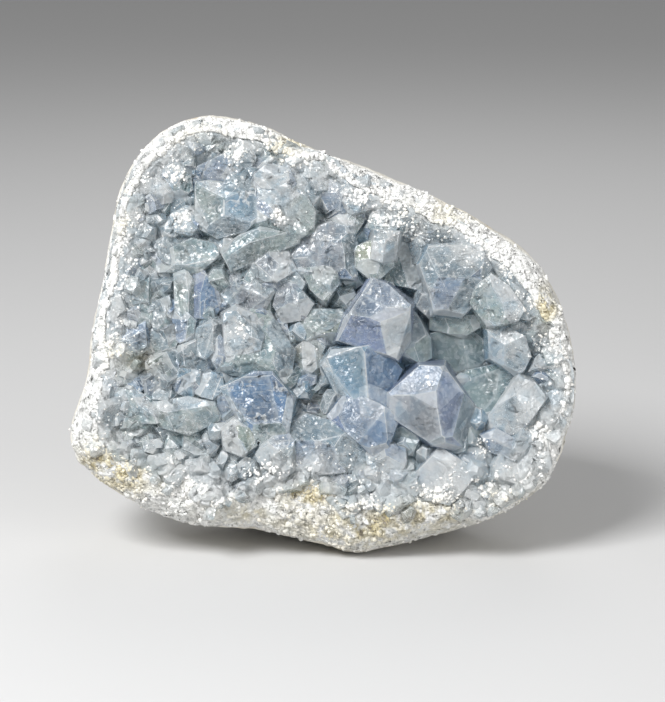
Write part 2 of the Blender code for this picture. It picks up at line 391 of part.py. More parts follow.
def hollow_point(angle, share, gap):
    """The hollow's floor, from the rim's line at share 0 to its deepest spot at 1, raised and drawn in by gap."""
    u, v = rim_line(angle, gap)
    centre_u, centre_v = HOLLOW_CENTRE
    inward = np.hypot(u - centre_u, v - centre_v) * share
    u, v = centre_u + (u - centre_u) * (1 - share), centre_v + (v - centre_v) * (1 - share)
    level = FACE_W + (round_rim(RIM_LINE_W, angle) - FACE_W) * np.exp(-((inward / LEVEL_REACH) ** 2))
    reach_u, reach_v = POCKET_REACH
    pocket = POCKET_DROP * np.exp(-(((u - centre_u) / reach_u) ** 2) - ((v - centre_v) / reach_v) ** 2)
    sunk = 1 - np.exp(-inward / WALL_RUN)
    return np.stack([u, v, level - (WALL_DROP + pocket) * sunk + gap], axis=1)


def floor_w(u, v):
    """Height of the hollow's floor at a point well inside the rim."""
    across, along = (u - HOLLOW_CENTRE[0]) / POCKET_REACH[0], (v - HOLLOW_CENTRE[1]) / POCKET_REACH[1]
    return FACE_W - WALL_DROP - POCKET_DROP * math.exp(-(across**2) - along**2)


def shaped_sphere(name, collection, segments, rings, place):
    """A UV sphere whose rings, 0 at its lower pole, and angles are put where place says, in the face frame."""
    bm = bmesh.new()
    bmesh.ops.create_uvsphere(bm, u_segments=segments, v_segments=rings, radius=1.0)
    corners = np.array([vert.co for vert in bm.verts])
    ring = np.rint(np.arccos(np.clip(-corners[:, 2], -1, 1)) / math.pi * rings).astype(int)
    angle = np.where((ring == 0) | (ring == rings), 0.0, np.arctan2(corners[:, 1], corners[:, 0]))
    for vert, point in zip(bm.verts, place(angle, ring)):
        vert.co = Vector(point)
    bm.transform(stance())
    return finished(name, collection, bm)


def finished(name, collection, bm):
    """Puts a closed bmesh into a new object of the collection, facing outwards."""
    bmesh.ops.recalc_face_normals(bm, faces=bm.faces)
    if bm.calc_volume(signed=True) < 0:
        bmesh.ops.reverse_faces(bm, faces=bm.faces)
    mesh = bpy.data.meshes.new(name)
    bm.to_mesh(mesh)
    bm.free()
    obj = bpy.data.objects.new(name, mesh)
    collection.objects.link(obj)
    return obj


def rock_place(angle, ring):
    """Where each point of the rock goes: back, then shoulder, then hollow."""
    back = back_point(angle, np.clip(ring / BACK_RINGS, 0, 1))
    shoulder = shoulder_point(angle, np.clip((ring - BACK_RINGS) / SHOULDER_RINGS, 0, 1))
    steps = np.clip((ring - BACK_RINGS - SHOULDER_RINGS) / HOLLOW_RINGS, 0, 1)
    hollow = hollow_point(angle, steps**HOLLOW_STEP_POWER, 0.0)
    in_hollow = (ring > BACK_RINGS + SHOULDER_RINGS)[:, None]
    return np.where(in_hollow, hollow, np.where((ring > BACK_RINGS)[:, None], shoulder, back))


def build_rock(collection):
    """The rind: one closed solid with its hollow, cut flat where it stands."""
    rings = BACK_RINGS + SHOULDER_RINGS + HOLLOW_RINGS
    rock = shaped_sphere("matrix_rock", collection, SEGMENTS, rings, rock_place)
    bm = bmesh.new()
    bm.from_mesh(rock.data)
    geometry = bm.verts[:] + bm.edges[:] + bm.faces[:]
    cut = bmesh.ops.bisect_plane(
        bm, geom=geometry, dist=1e-7, plane_co=(0, 0, 0), plane_no=(0, 0, -1), clear_outer=True
    )["geom_cut"]
    bmesh.ops.contextual_create(bm, geom=[item for item in cut if isinstance(item, bmesh.types.BMEdge)])
    bmesh.ops.triangulate(bm, faces=bm.faces)
    bmesh.ops.recalc_face_normals(bm, faces=bm.faces)
    bm.to_mesh(rock.data)
    bm.free()
    rock.data.shade_smooth()
    rock.data.set_sharp_from_angle(angle=math.radians(SHARP_EDGE_DEG))
    rock.data.materials.append(surface("rind", RIND_CREAM, roughness=0.85, transmission=0.0))
    return rock


def plug_place(angle, ring):
    """The space that the crust may fill: the hollow less its gap, then straight out of the face."""
    share = np.clip(1 - ring / HOLLOW_RINGS, 0, 1) ** HOLLOW_STEP_POWER
    hollow = hollow_point(angle, share, ROCK_GAP)
    u, v = rim_line(angle, ROCK_GAP)
    out = ring <= HOLLOW_RINGS + 1
    top = np.stack([u * out, v * out, np.full_like(u, FRONT_LIMIT_W)], axis=1)
    return np.where((ring <= HOLLOW_RINGS)[:, None], hollow, top)


def bed_place(angle, ring):
    """The bed under the crystals: a thick lining that runs on behind the gap, so that the plug trims it."""
    under_share = np.clip(1 - ring / HOLLOW_RINGS, 0, 1) ** HOLLOW_STEP_POWER
    under = hollow_point(angle, under_share, -BED_OVERLAP)
    share = np.clip((ring - HOLLOW_RINGS - 1) / HOLLOW_RINGS, 0, 1) ** HOLLOW_STEP_POWER
    over = hollow_point(angle, share, -BED_OVERLAP * (share == 0))
    edge_u, edge_v = rim_line(angle, 0.0)
    inward = np.hypot(over[:, 0] - edge_u, over[:, 1] - edge_v) * (share > 0)
    sunk = 1 - np.exp(-inward / BED_RUN)
    start = round_rim(RIM_LINE_W, angle) - BED_EDGE_DROP
    relief = BED_LUMP * lumps(over, LUMP_LENGTH / 2)
    over[:, 2] = start + (over[:, 2] + BED_THICKNESS - start + relief) * sunk
    return np.where((ring <= HOLLOW_RINGS)[:, None], under, over)


def hull_of(points):
    """The corners of the convex outline round some points, anticlockwise."""
    ordered = sorted(points)
    corners = []
    for run in (ordered, ordered[::-1]):
        side = []
        for point in run:
            while len(side) > 1 and turn_of(side[-2], side[-1], point) <= 0:
                side.pop()
            side.append(point)
        corners += side[:-1]
    return corners


def turn_of(a, b, c):
    """Above 0 where the way from a by b to c turns left."""
    return (b[0] - a[0]) * (c[1] - a[1]) - (b[1] - a[1]) * (c[0] - a[0])


def drawn_in(u, v):
    """A point of the view, drawn in to the view's centre."""
    centre_u, centre_v = VIEW_CENTRE
    return centre_u + (u - centre_u) * VIEW_SHRINK, centre_v + (v - centre_v) * VIEW_SHRINK


def seen_planes(seen):
    """The faces of a seen crystal as (point, normal) in the face frame: its foot, sides and front faces."""
    corners = hull_of([drawn_in(u, v) for u, v in seen.outline])
    start = max(face[2] for face in seen.faces) - SIDE_START
    u, v = np.mean(corners, axis=0)
    planes = [((u, v, floor_w(u, v) - ROOT_DEPTH), (0.0, 0.0, -1.0))]
    for a, b in zip(corners, corners[1:] + corners[:1]):
        length = math.hypot(b[0] - a[0], b[1] - a[1])
        planes.append(((*a, start), ((b[1] - a[1]) / length, (a[0] - b[0]) / length, SIDE_FLARE)))
    for u, v, w, rise_u, rise_v in seen.faces:
        planes.append(((*drawn_in(u, v), w), (-rise_u, -rise_v, 1.0)))
    return planes


def fill_planes(crystal):
    """The faces of a seeded crystal as (point, normal) in the face frame."""
    habit = crystal.habit
    half_width, half_thick = crystal.width / 2, crystal.thickness / 2
    prism, roof, end = (math.radians(a) for a in (habit.prism_deg, habit.roof_deg, habit.end_deg))
    planes = [((0.0, 0.0, 1.0), -habit.blunt * half_width)]
    for side in (-1, 1):
        for other in (-1, 1):
            planes.append(((side * math.cos(prism), other * math.sin(prism), 0.0), half_width * math.cos(prism)))
        planes.append(((0.0, side, 0.0), half_thick))
        planes.append(((side * math.sin(roof), 0.0, math.cos(roof)), 0.0))
        planes.append(((0.0, side * math.sin(end), math.cos(end)), habit.ridge * half_thick * math.sin(end)))
    planes.append(((0.0, 0.0, -1.0), crystal.w - floor_w(crystal.u, crystal.v) + ROOT_DEPTH))
    axis = Vector((*crystal.lean, 1.0)).normalized()
    turn = Vector((0.0, 0.0, 1.0)).rotation_difference(axis).to_matrix()
    turn = turn @ Matrix.Rotation(math.radians(crystal.roll), 3, "Z")
    tip = Vector((crystal.u, crystal.v, crystal.w))
    return [(tip + turn @ (Vector(normal) * distance), turn @ Vector(normal)) for normal, distance in planes]


def build_crystal(name, collection, middle, planes):
    """A block round the middle, trimmed to the crystal's faces."""
    bm = bmesh.new()
    bmesh.ops.create_cube(bm, size=BLANK_SIZE)
    bmesh.ops.translate(bm, vec=(*middle, 0.0), verts=bm.verts)
    for point, normal in planes:
        geometry = bm.verts[:] + bm.edges[:] + bm.faces[:]
        cut = bmesh.ops.bisect_plane(
            bm, geom=geometry, dist=1e-6, plane_co=point, plane_no=normal, clear_outer=True
        )["geom_cut"]
        edges = [item for item in cut if isinstance(item, bmesh.types.BMEdge)]
        if edges:
            bmesh.ops.contextual_create(bm, geom=edges)
    bm.transform(stance())
    return finished(name, collection, bm)


def fill_crystals():
    """Seeded crystals in the spaces between the named ones, larger ones first."""
    rng = np.random.default_rng(FILL_SEED)
    habits = [CHISEL, BLOCK, PEAK, SLAB]
    taken = []
    for seen in SEEN_CRYSTALS:
        corners = np.array(seen.outline)
        taken.append((*corners.mean(axis=0), SEEN_SHARE * float(np.ptp(corners, axis=0).mean())))
    found = []
    for count, least, most in FILL_ROUNDS:
        made = 0
        for _ in range(FILL_TRIES):
            u, v = rng.uniform(*FILL_U), rng.uniform(*FILL_V)
            size, shape, roll = rng.uniform(least, most), rng.uniform(*FILL_THICKNESS), rng.uniform(0.0, 180.0)
            lean = tuple(rng.uniform(-FILL_LEAN, FILL_LEAN, 2))
            drop, kind = rng.uniform(*FILL_DROP), int(rng.integers(len(habits)))
            angle = math.atan2(v, u)
            inner = float(outline_radius(angle) - round_rim(RIM_WIDTH, angle)) - FILL_EDGE - size / 2
            near = any(math.hypot(u - a, v - b) < FILL_SPACING * (size + s) for a, b, s in taken)
            if near or math.hypot(u, v) > inner:
                continue
            w = min(FACE_W - drop, floor_w(u, v) + BED_THICKNESS + FILL_HEIGHT * size)
            taken.append((u, v, size))
            found.append(Crystal(u, v, w, size, size * shape, roll, lean, habits[kind]))
            made += 1
            if made == count:
                break
    return found


def build_crust(collection, helpers, crystals_in):
    """The crust: bed and crystals grown together, trimmed to the hollow."""
    plug = shaped_sphere("hollow_plug", helpers, SEGMENTS, HOLLOW_RINGS + 2, plug_place)
    crust = shaped_sphere("crystal_crust", collection, SEGMENTS, 2 * HOLLOW_RINGS + 1, bed_place)
    for number, seen in enumerate(SEEN_CRYSTALS):
        build_crystal(f"seen_{number:02d}", crystals_in, np.mean(seen.outline, axis=0), seen_planes(seen))
    for number, crystal in enumerate(fill_crystals()):
        build_crystal(f"fill_{number:02d}", crystals_in, (crystal.u, crystal.v), fill_planes(crystal))
    for helper in [plug, *crystals_in.objects]:
        helper.hide_render = True
        helper.display_type = "WIRE"
    grown = crust.modifiers.new("grown_together", "BOOLEAN")
    grown.operation = "UNION"
    grown.operand_type = "COLLECTION"
    grown.collection = crystals_in
    apply_modifiers(crust)
    trimmed = crust.modifiers.new("trimmed_to_hollow", "BOOLEAN")
    trimmed.operation = "INTERSECT"
    trimmed.object = plug
    apply_modifiers(crust)
    keep_outer_skin(crust)
    crust.data.materials.append(surface("celestite", CELESTITE_BLUE, roughness=0.15, transmission=0.8))
    return crust


def apply_modifiers(obj):
    """Turns an object's modifiers into its mesh."""
    made = bpy.data.meshes.new_from_object(obj.evaluated_get(bpy.context.evaluated_depsgraph_get()))
    obj.modifiers.clear()
    obj.data = made


def keep_outer_skin(obj):
    """Keeps the largest connected skin: what is left inside it are pockets closed in between crystals."""
    bm = bmesh.new()
    bm.from_mesh(obj.data)
    bmesh.ops.dissolve_degenerate(bm, dist=1e-5, edges=bm.edges)
    unseen = set(bm.verts)
    skins = []
    while unseen:
        skin, edge_of_skin = set(), [unseen.pop()]
        while edge_of_skin:
            vert = edge_of_skin.pop()
            skin.add(vert)
            linked = {edge.other_vert(vert) for edge in vert.link_edges} & unseen
            unseen -= linked
            edge_of_skin.extend(linked)
        skins.append(skin)
    outer = max(skins, key=len)
    bmesh.ops.delete(bm, geom=[vert for vert in bm.verts if vert not in outer], context="VERTS")
    bmesh.ops.poke(bm, faces=clashing_faces(bm))
    bmesh.ops.triangulate(bm, faces=bm.faces)
    bm.to_mesh(obj.data)
    bm.free()


def clashing_faces(bm):
    """Faces that, cut into triangles, would take the same new edge, which four triangles would then share."""
    bm.faces.ensure_lookup_table()
    numbered = bm.faces.layers.int.new("number")
    for face in bm.faces:
        face[numbered] = face.index
    trial = bm.copy()
    bmesh.ops.triangulate(trial, faces=trial.faces)
    layer = trial.faces.layers.int["number"]
    clashing = set()
    for edge in trial.edges:
        owners = [face[layer] for face in edge.link_faces]
        if len(owners) > 2:
            clashing.update(owner for owner in owners if owners.count(owner) > 1)
    trial.free()
    return [bm.faces[number] for number in clashing]


def surface(name, colour, roughness, transmission):
    """A Principled material."""
    material = bpy.data.materials.new(name)
    material.use_nodes = True
    shader = material.node_tree.nodes["Principled BSDF"]
    shader.inputs["Base Color"].default_value = colour
    shader.inputs["Roughness"].default_value = roughness
    shader.inputs["Metallic"].default_value = 0.0
    shader.inputs["Transmission Weight"].default_value = transmission
    shader.inputs["IOR"].default_value = CELESTITE_IOR
    return material


def main():
    """Builds the rock and the crust."""
    clear_scene()
    cluster = new_collection("celestite_cluster")
    helpers = new_collection("cutters")
    crystals = new_collection("crystals_to_join")
    build_rock(cluster)
    build_crust(cluster, helpers, crystals)


if __name__ == "__main__":
    main()
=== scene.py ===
"""Celestite cluster, dressed: a weathered rind, its sugary rim and the clear crystals that line the hollow.

The stone is worked out in the frame of its open face, in millimetres: u runs right, v up along the face and w
out of the face, towards the viewer. StoneForm.to_world leans it back and stands it on the floor, in metres.
"""

import json
import logging
import math
from collections.abc import Callable
from dataclasses import dataclass, field
from enum import Enum
from functools import lru_cache
from itertools import combinations, product

import bmesh
import bpy
import numpy as np
from bpy.types import Material, Mesh, Node, Object
from bpy.types import NodeSocket as Socket
from mathutils import Matrix, Vector
from mathutils.bvhtree import BVHTree
from mathutils.geometry import convex_hull_2d
from numpy.random import Generator

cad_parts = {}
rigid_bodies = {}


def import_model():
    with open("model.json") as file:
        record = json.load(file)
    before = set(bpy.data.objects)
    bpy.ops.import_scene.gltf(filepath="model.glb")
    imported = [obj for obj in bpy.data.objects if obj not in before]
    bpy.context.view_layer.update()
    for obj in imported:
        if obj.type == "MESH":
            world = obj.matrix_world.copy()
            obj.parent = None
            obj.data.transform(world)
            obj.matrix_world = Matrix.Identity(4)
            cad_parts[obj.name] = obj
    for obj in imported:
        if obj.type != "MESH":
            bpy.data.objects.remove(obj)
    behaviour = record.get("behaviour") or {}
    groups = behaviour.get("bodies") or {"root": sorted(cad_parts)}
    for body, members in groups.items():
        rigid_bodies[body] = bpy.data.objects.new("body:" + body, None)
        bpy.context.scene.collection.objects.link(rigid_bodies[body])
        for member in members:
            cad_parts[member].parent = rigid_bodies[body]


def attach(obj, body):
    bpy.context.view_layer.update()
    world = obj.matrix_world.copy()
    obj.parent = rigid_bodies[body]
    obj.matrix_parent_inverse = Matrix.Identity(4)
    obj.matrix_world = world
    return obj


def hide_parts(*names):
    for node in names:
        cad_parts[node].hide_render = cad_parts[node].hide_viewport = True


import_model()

Array = np.ndarray
Triple = tuple[float, float, float]
LOG = logging.getLogger("celestite")
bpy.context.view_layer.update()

# Silhouette of the rind seen straight at the face, through which a smooth closed curve runs
OUTLINE = (
    (74.0, -1.0), (70.5, 12.5), (61.5, 26.5), (46.0, 37.0), (30.0, 45.5), (10.0, 53.5), (-6.0, 59.5),
    (-17.0, 64.8), (-29.0, 67.8), (-40.0, 66.6), (-50.0, 60.8), (-57.0, 51.5), (-61.5, 38.0), (-64.5, 21.0),
    (-67.8, 5.0), (-70.2, -11.0), (-74.8, -26.5), (-70.0, -36.5), (-57.0, -46.0), (-41.0, -52.8),
    (-21.0, -55.0), (-2.0, -59.2), (11.0, -61.8), (30.0, -57.8), (50.0, -51.4), (66.0, -41.0),
    (73.2, -25.0), (75.2, -12.0),
)

# The rim by the angle round the face in degrees: how wide its band is, how high its inner line stands, where
# the widest section lies behind the face, and how boxy the back is there
RIM_ANGLES = (0, 45, 75, 95, 112, 135, 180, 200, 225, 250, 270, 290, 315, 335)
RIM_WIDTH = (6.0, 7.5, 5.0, 4.5, 7.0, 4.5, 4.5, 10.0, 14.0, 15.0, 15.5, 14.0, 9.5, 6.5)
RIM_LINE_W = (-3.0, -2.5, -2.0, -2.0, -1.5, -1.5, -2.0, -2.5, -3.5, -4.0, -4.0, -4.0, -3.5, -3.0)
WIDEST_W = (-14.0, -13.0, -12.0, -12.0, -12.0, -12.0, -13.0, -15.0, -18.0, -20.0, -20.0, -20.0, -18.0, -15.0)
BACK_POWER = (2.4, 2.3, 2.2, 2.2, 2.2, 2.3, 2.4, 2.8, 3.6, 4.4, 4.8, 4.4, 3.4, 2.7)
# Share of the rounded rim, from its widest section to its inner line, that stays smooth rind before the sugar
RIND_SHARE = (0.27, 0.30, 0.33, 0.33, 0.30, 0.33, 0.36, 0.21, 0.12, 0.09, 0.09, 0.12, 0.18, 0.24)

# Broad flats that time has ground on the back, each a direction and its distance from the stone's middle
STONE_MIDDLE = (0.0, 0.0, -30.0)
BACK_FLATS = (
    ((0.42, 0.38, -0.82), 46.0), ((-0.50, 0.22, -0.84), 45.0), ((-0.30, -0.38, -0.87), 42.0),
    ((0.62, -0.22, -0.75), 50.0), ((-0.12, 0.72, -0.68), 50.0), ((0.10, -0.10, -0.99), 41.0),
)

# Iron stains on the front: middle (u, v), reach along u and v, and strength
STAINS = (
    ((-60.0, -38.0), (12.0, 6.0), 0.7), ((-66.0, -31.0), (6.0, 5.0), 0.5), ((-4.0, -43.5), (7.0, 3.0), 1.15),
    ((-20.0, -50.0), (14.0, 4.0), 0.45), ((8.0, -55.0), (16.0, 6.0), 0.7), ((30.0, -50.0), (14.0, 5.0), 0.6),
    ((55.0, -45.0), (10.0, 5.0), 0.4), ((65.5, 11.0), (3.0, 6.0), 0.9), ((-10.0, 58.0), (7.0, 4.0), 0.6),
    ((-36.0, 60.0), (8.0, 4.0), 0.35), ((-55.0, -4.0), (6.0, 4.0), 1.15), ((-58.0, 40.0), (4.0, 9.0), 0.25),
    ((36.0, 38.5), (10.0, 4.0), 0.3),
)

# Where the hollow stays open between the crystals, and where painted shade darkens their tint: (u, v, reach,
# extra depth)
GAPS_WITH_PAINTED_SHADE = (
    (11.0, 17.0, 5.0, 9.0), (2.5, 38.5, 3.5, 6.0), (-5.0, -18.0, 4.0, 7.0), (31.0, 10.0, 4.0, 8.0),
    (1.0, 12.0, 4.0, 4.0), (-10.0, -18.0, 3.0, 5.0),
)

# White powder on the crystals: (u, v, reach)
POWDER = (
    (-12.5, 37.0, 2.6), (30.0, -10.8, 2.2), (46.5, -30.0, 2.8), (29.8, 9.0, 1.2), (-48.5, -12.0, 2.0),
    (20.0, 39.0, 6.0), (11.0, 44.5, 4.5), (27.0, 33.0, 3.5), (-25.0, 56.0, 3.5), (-43.0, 50.0, 3.5),
    (-41.0, 37.0, 3.0), (-24.0, 4.0, 2.5),
)


# How far back the stains reach
STAINS_END_W = -26.0
# The area in which places are tried: least and greatest (u, v)
TRY_FROM, TRY_TO = (-76.0, -62.0), (76.0, 70.0)
# Colours that frost, iron, wear and painted highlight put over the crystals' own, as linear red, green and
# blue
POWDER_WHITE = np.array([0.93, 0.94, 0.93])
IRON_OCHRE = np.array([0.66, 0.60, 0.38])
IRON_BROWN = np.array([0.20, 0.16, 0.09])
GRAIN_OCHRE = np.array([0.64, 0.56, 0.34])
# Pale edge strips: partly worn, frosted edges and partly a painted highlight along them
WORN_EDGE_AND_HIGHLIGHT = np.array([0.80, 0.84, 0.87])
PALE_BORDER = np.array([0.86, 0.90, 0.92])
BED_TINT = (0.66, 0.72, 0.76, 1.0)
# Narrower crystals than this keep their plain faces
PLAIN_UNDER = 3.2
# How dull breaks and slight faces are, and how far a slight face is tilted and cuts in
CHIP_FROST, FACET_FROST = 0.55, 0.1
FACET_TILT, FACET_LEAST, FACET_MOST = 0.24, 0.25, 1.5
# Edges are worn, in a pale strip that is partly painted highlight, where the sum of their faces' directions is
# between these, unless they face backwards
WORN_LEAST, WORN_MOST, WORN_BACK = 0.5, 1.97, -0.4


class Tint(Enum):
    """The colours that the crystals' faces show, as linear red, green and blue."""

    LAVENDER = "L", (0.34, 0.44, 0.60)
    BLUE = "B", (0.23, 0.43, 0.58)
    DEEP = "D", (0.13, 0.29, 0.52)
    VIOLET = "V", (0.26, 0.35, 0.58)
    GREEN = "G", (0.40, 0.50, 0.48)
    TEAL = "T", (0.23, 0.36, 0.38)
    STEEL = "S", (0.34, 0.43, 0.48)
    WHITE = "W", (0.90, 0.93, 0.94)
    PINKISH = "P", (0.41, 0.44, 0.49)
    YELLOWISH = "Y", (0.55, 0.59, 0.44)
    BROWNISH = "N", (0.43, 0.43, 0.36)

    @classmethod
    def of(cls, letter: str) -> Triple:
        """The colour behind a letter."""
        return next(tint.value[1] for tint in cls if tint.value[0] == letter)


@dataclass(frozen=True)
class SeenCrystal:
    """A crystal that the photograph shows from the front.

    Args:
        tints: one letter for each front face, then one for its sides.
        outline: corners of its outline (u, v).
        faces: its front faces, each a point (u, v, w) and how fast the face rises along u and along v.
        in_pocket: whether it is one of the large clear ones in the pocket.
    """

    tints: str
    outline: tuple
    faces: tuple
    in_pocket: bool


@dataclass(frozen=True)
class Habit:
    """How a seeded crystal ends: prism angle, roof and end slopes, ridge length and blunt top as shares."""

    prism_deg: float
    roof_deg: float
    end_deg: float
    ridge: float
    blunt: float


class CrystalHabit(Enum):
    """The ways in which the crystals end."""

    CHISEL = Habit(32.0, 40.0, 52.0, 0.45, 0.05)
    BLOCK = Habit(18.0, 27.0, 34.0, 0.55, 0.16)
    PEAK = Habit(38.0, 50.0, 50.0, 0.10, 0.03)
    SLAB = Habit(14.0, 15.0, 24.0, 0.70, 0.12)


# The read crystals, by the part of the face they stand in: tints, outline and faces, as SeenCrystal says them
POCKET = (
    ("LVWV", ((15, 18.2), (19, 17), (25.5, 11.5), (25, 2), (22, -2.8), (6, 2.3), (8, 8)), (
        (15.5, 8.5, 4.5, 0, -0.5), (0.25, 0.45), (-0.2, 0.45))),
    ("SGSS", ((24.5, 9.5), (28, 8.5), (31.5, 2), (32, -3), (28.5, -5), (23.5, -2.5)), (
        (27.5, 1.5, -3.5, 0, -0.35), (-0.1, 0.35), (29.5, 1.5, -4, -0.7, 0))),
    ("BDWB", ((0.8, -6), (3.5, -2), (15.5, -0.4), (18.5, -2.5), (22.5, -7.5), (18, -18.5), (6.5, -16.5)), (
        (13, -7, -0.5, 0.12, 0.05), (-0.5, 0), (2.4, -8.5, -1.8, 0.97, 0.7))),
    ("DVDLD", ((2.8, -21.5), (6.8, -16.3), (9.8, -14.8), (16.5, -18), (22.3, -21), (19, -30), (15, -32)), (
        (14, -20, 0.8, -0.05, 0.18), (12, -20, 0.8, 0.42, 0.05), (18.8, -22, 0.2, -0.7, 0.1),
        (14, -20, 0.8, 0.1, -0.25))),
    ("PVSLSV", ((20.5, -15.5), (29.5, -7.3), (36, -7.3), (46, -21.5), (40, -30), (33, -28.5),
        (20.5, -20)), (
        (32.5, -10, 4.5, 0.38, 0.185), (-0.55, 0.02), (41.5, -18, -0.6, -1.2, 0.2),
        (32.8, -12.8, 4.1, 0.48, -0.35), (35.5, -27, 2.5, 0, 0.9))),
    ("LLWL", ((35, -31.3), (46, -38), (38, -47), (31, -45.5), (27, -40.5)), (
        (37, -36, -0.5, 0.3, 0.1), (-0.3, 0.12), (36, -34, -0.6, 0, -0.5))),
    ("TT", ((41, -12), (44, -8.3), (52, -6.5), (58.5, -8.5), (50.5, -22), (47, -23)), (
        (50, -13, -7, 0.05, -0.15),)),
    ("WWWW", ((50, -22.5), (58.7, -9.8), (62.5, -11), (66.5, -16), (60, -24.5), (54.5, -27),
        (50.5, -25.8)), (
        (60, -18, -1, -0.05, -0.05), (57, -19, -1, 0.35, 0.3), (55.8, -17.5, -1, 0.9, -0.6))),
    ("GGG", ((33.5, 9.8), (46, 9.6), (46.8, 5.5), (42, 2.8), (33.5, 5)), (
        (40, 7, -7.5, 0.05, 0.25), (37.5, 7, -7.6, 0.4, 0.1))),
    ("TTT", ((31, 2.5), (38, 4.5), (46.5, 4.5), (51.5, -1.5), (42, -11), (31.5, -4.5)), (
        (43, -2, -10.5, 0.08, 0.1), (-0.2, 0.05))),
    ("SLSSB", ((30, 23.5), (32.5, 28.8), (46, 30), (49.5, 23), (46, 14), (41.5, 9.8), (33, 10.5)), (
        (40, 20, 1, 0, -0.3), (0.02, 0.35), (34, 20, 0.6, 0.7, 0), (46.5, 20, 1, -0.6, 0.1))),
    ("VVV", ((46.5, 29), (50.5, 28.5), (51.5, 24.5), (50, 21), (46.5, 22.5)), (
        (49, 25, -3, 0.1, 0.3), (-0.4, -0.1))),
    ("GGG", ((51.5, 27.5), (56, 28), (59.5, 23.5), (58, 20), (52.5, 20)), (
        (55, 24, -3, 0.25, 0.2), (-0.35, -0.1))),
    ("GWGG", ((45.3, 12.5), (46.2, 17), (50.5, 20.5), (55, 17), (59.5, 11), (57.5, 7.5), (50, 6.3)), (
        (51.5, 15, 1.5, 0.45, 0.1), (-0.35, -0.15), (52, 9.5, 1, 0, 0.5))),
    ("SSSS", ((55, 17), (60.5, 18), (64.8, 15), (65.5, 10.5), (61.5, 8), (57, 9.5)), (
        (60.5, 13.5, -2, 0.35, 0.1), (-0.45, 0.05), (-0.05, -0.5))),
    ("BSWB", ((50.3, 3.8), (54.5, 5), (60, 2), (61.5, -3), (59, -9), (51, -3.5)), (
        (55, -1, -1.5, 0.5, 0.15), (-0.25, 0.2), (55, 1, -1.4, 0, -0.6))),
    ("DDD", ((48.5, -27.5), (52.5, -25.8), (57, -28.5), (59, -32), (57, -34), (51, -31.5)), (
        (53.5, -29.5, -2, 0.2, 0.3), (-0.15, -0.35))),
    ("TPT", ((20, 22), (21, 28), (24, 31), (30.8, 27.5), (29.5, 16.8), (22, 19)), (
        (26, 23, -7.5, 0.3, 0.1), (-0.35, -0.2))),
    ("YGYG", ((10.5, 28.8), (15, 30.5), (20.5, 29), (20.5, 24), (16, 19.5), (10.5, 23.8)), (
        (15, 25, -2, 0.35, 0.2), (-0.35, 0.3), (15, 26, -1.9, 0, -0.3))),
    ("WWSW", ((16, 33.5), (22.5, 33), (21, 26.5), (18.5, 25.3), (15.5, 26.5)), (
        (18.5, 29.5, 1.5, 0.3, 0.2), (-0.35, 0.25), (18.5, 30.5, 1.5, 0, -0.35))),
)
MIDDLE = (
    ("GYGG", ((-8.5, 8), (-6, 10.3), (5.3, 10.3), (6.2, 7.5), (3.8, 1.5), (-3, 1.3), (-8, 4)), (
        (0, 6.5, -4.5, 0.08, -0.3), (-0.1, 0.3), (-4, 6.5, -4.6, 0.5, 0.1))),
    ("GGWG", ((-5.2, 22.3), (0.8, 23), (3.8, 22.3), (4.2, 18.5), (0.8, 13.3), (-2.5, 17)), (
        (0.8, 18, -0.5, 0.45, 0.15), (-0.5, 0.2), (0.8, 20, -0.3, 0, -0.25))),
    ("PSPLS", ((-8.5, 27), (-2.5, 35), (3, 36), (8.5, 34), (10, 28.5), (9.5, 20.5), (-5, 21)), (
        (2, 28, -1, 0.25, 0.05), (4, 28, -1, -0.4, 0), (2, 30, -1, 0, -0.4), (2, 25, -1.1, 0.05, 0.4))),
    ("PSPS", ((-14, 12.5), (-12, 17.5), (-8.5, 18.5), (-3.5, 12.5), (-6, 8.5), (-11.5, 7.7)), (
        (-9, 14, -2.5, 0.35, -0.1), (-0.3, 0), (-9, 12, -2.4, 0, 0.45))),
    ("PSPS", ((-30, 16), (-26, 21.5), (-20, 21.5), (-15, 16), (-18, 10.5), (-27, 11)), (
        (-23, 16, -2.5, 0.3, 0.1), (-0.2, -0.3), (-22, 14, -2.6, -0.1, 0.5))),
    ("PWSP", ((-25, 23.5), (-18, 27.5), (-11, 27.5), (-8.5, 22.5), (-14, 19.5), (-22, 20)), (
        (-16, 24, -1, 0.15, -0.3), (-0.25, 0.2), (-19, 23, -1.4, 0.4, 0.4))),
    ("NNSN", ((-9, -2), (-5.5, 1), (-0.8, -2.5), (0, -7.5), (-4, -11), (-9, -9.5)), (
        (-4, -3, -5.5, 0.4, 0.1), (-0.5, 0), (-4, -5, -5.6, 0.05, 0.4))),
    ("TTT", ((0.5, -11), (5.5, -17), (3, -22), (-1, -23), (-1, -13.5)), (
        (2, -17, -9, 0.3, 0.2), (-0.4, -0.1))),
    ("GSGS", ((-28, -4), (-21, 10), (-16, 9), (-9.3, -1.5), (-10, -8.5), (-20, -9.3), (-27, -8)), (
        (-17, -3, -1.5, -0.05, -0.1), (-12.5, -3, -1.7, -0.5, 0), (-22, -6, -1.1, 0.15, 0.5))),
    ("WWSW", ((-29, 8.5), (-25.5, 10.8), (-20.5, 8), (-18, 2.5), (-19, -0.8), (-28.3, -3.8)), (
        (-24, 3, 1.2, 0.1, 0.12), (-24, 1.5, 1.1, 0.05, 0.3), (-22, 5, 1.6, -0.45, -0.3))),
    ("DLLGBB", ((-29.5, -13), (-20, -8.8), (-15, -8.8), (-9.3, -16), (-10.5, -25.5), (-20.5, -29.5)), (
        (-18, -17, 0.8, 0.05, 0.02), (-11.2, -17, 1.1, -1, -0.2), (-19, -10.3, 0.9, 0.1, -0.9),
        (-17, -21.5, 0.8, 0.02, 0.4), (-26.5, -15, 0.4, 0.8, 0.2))),
)
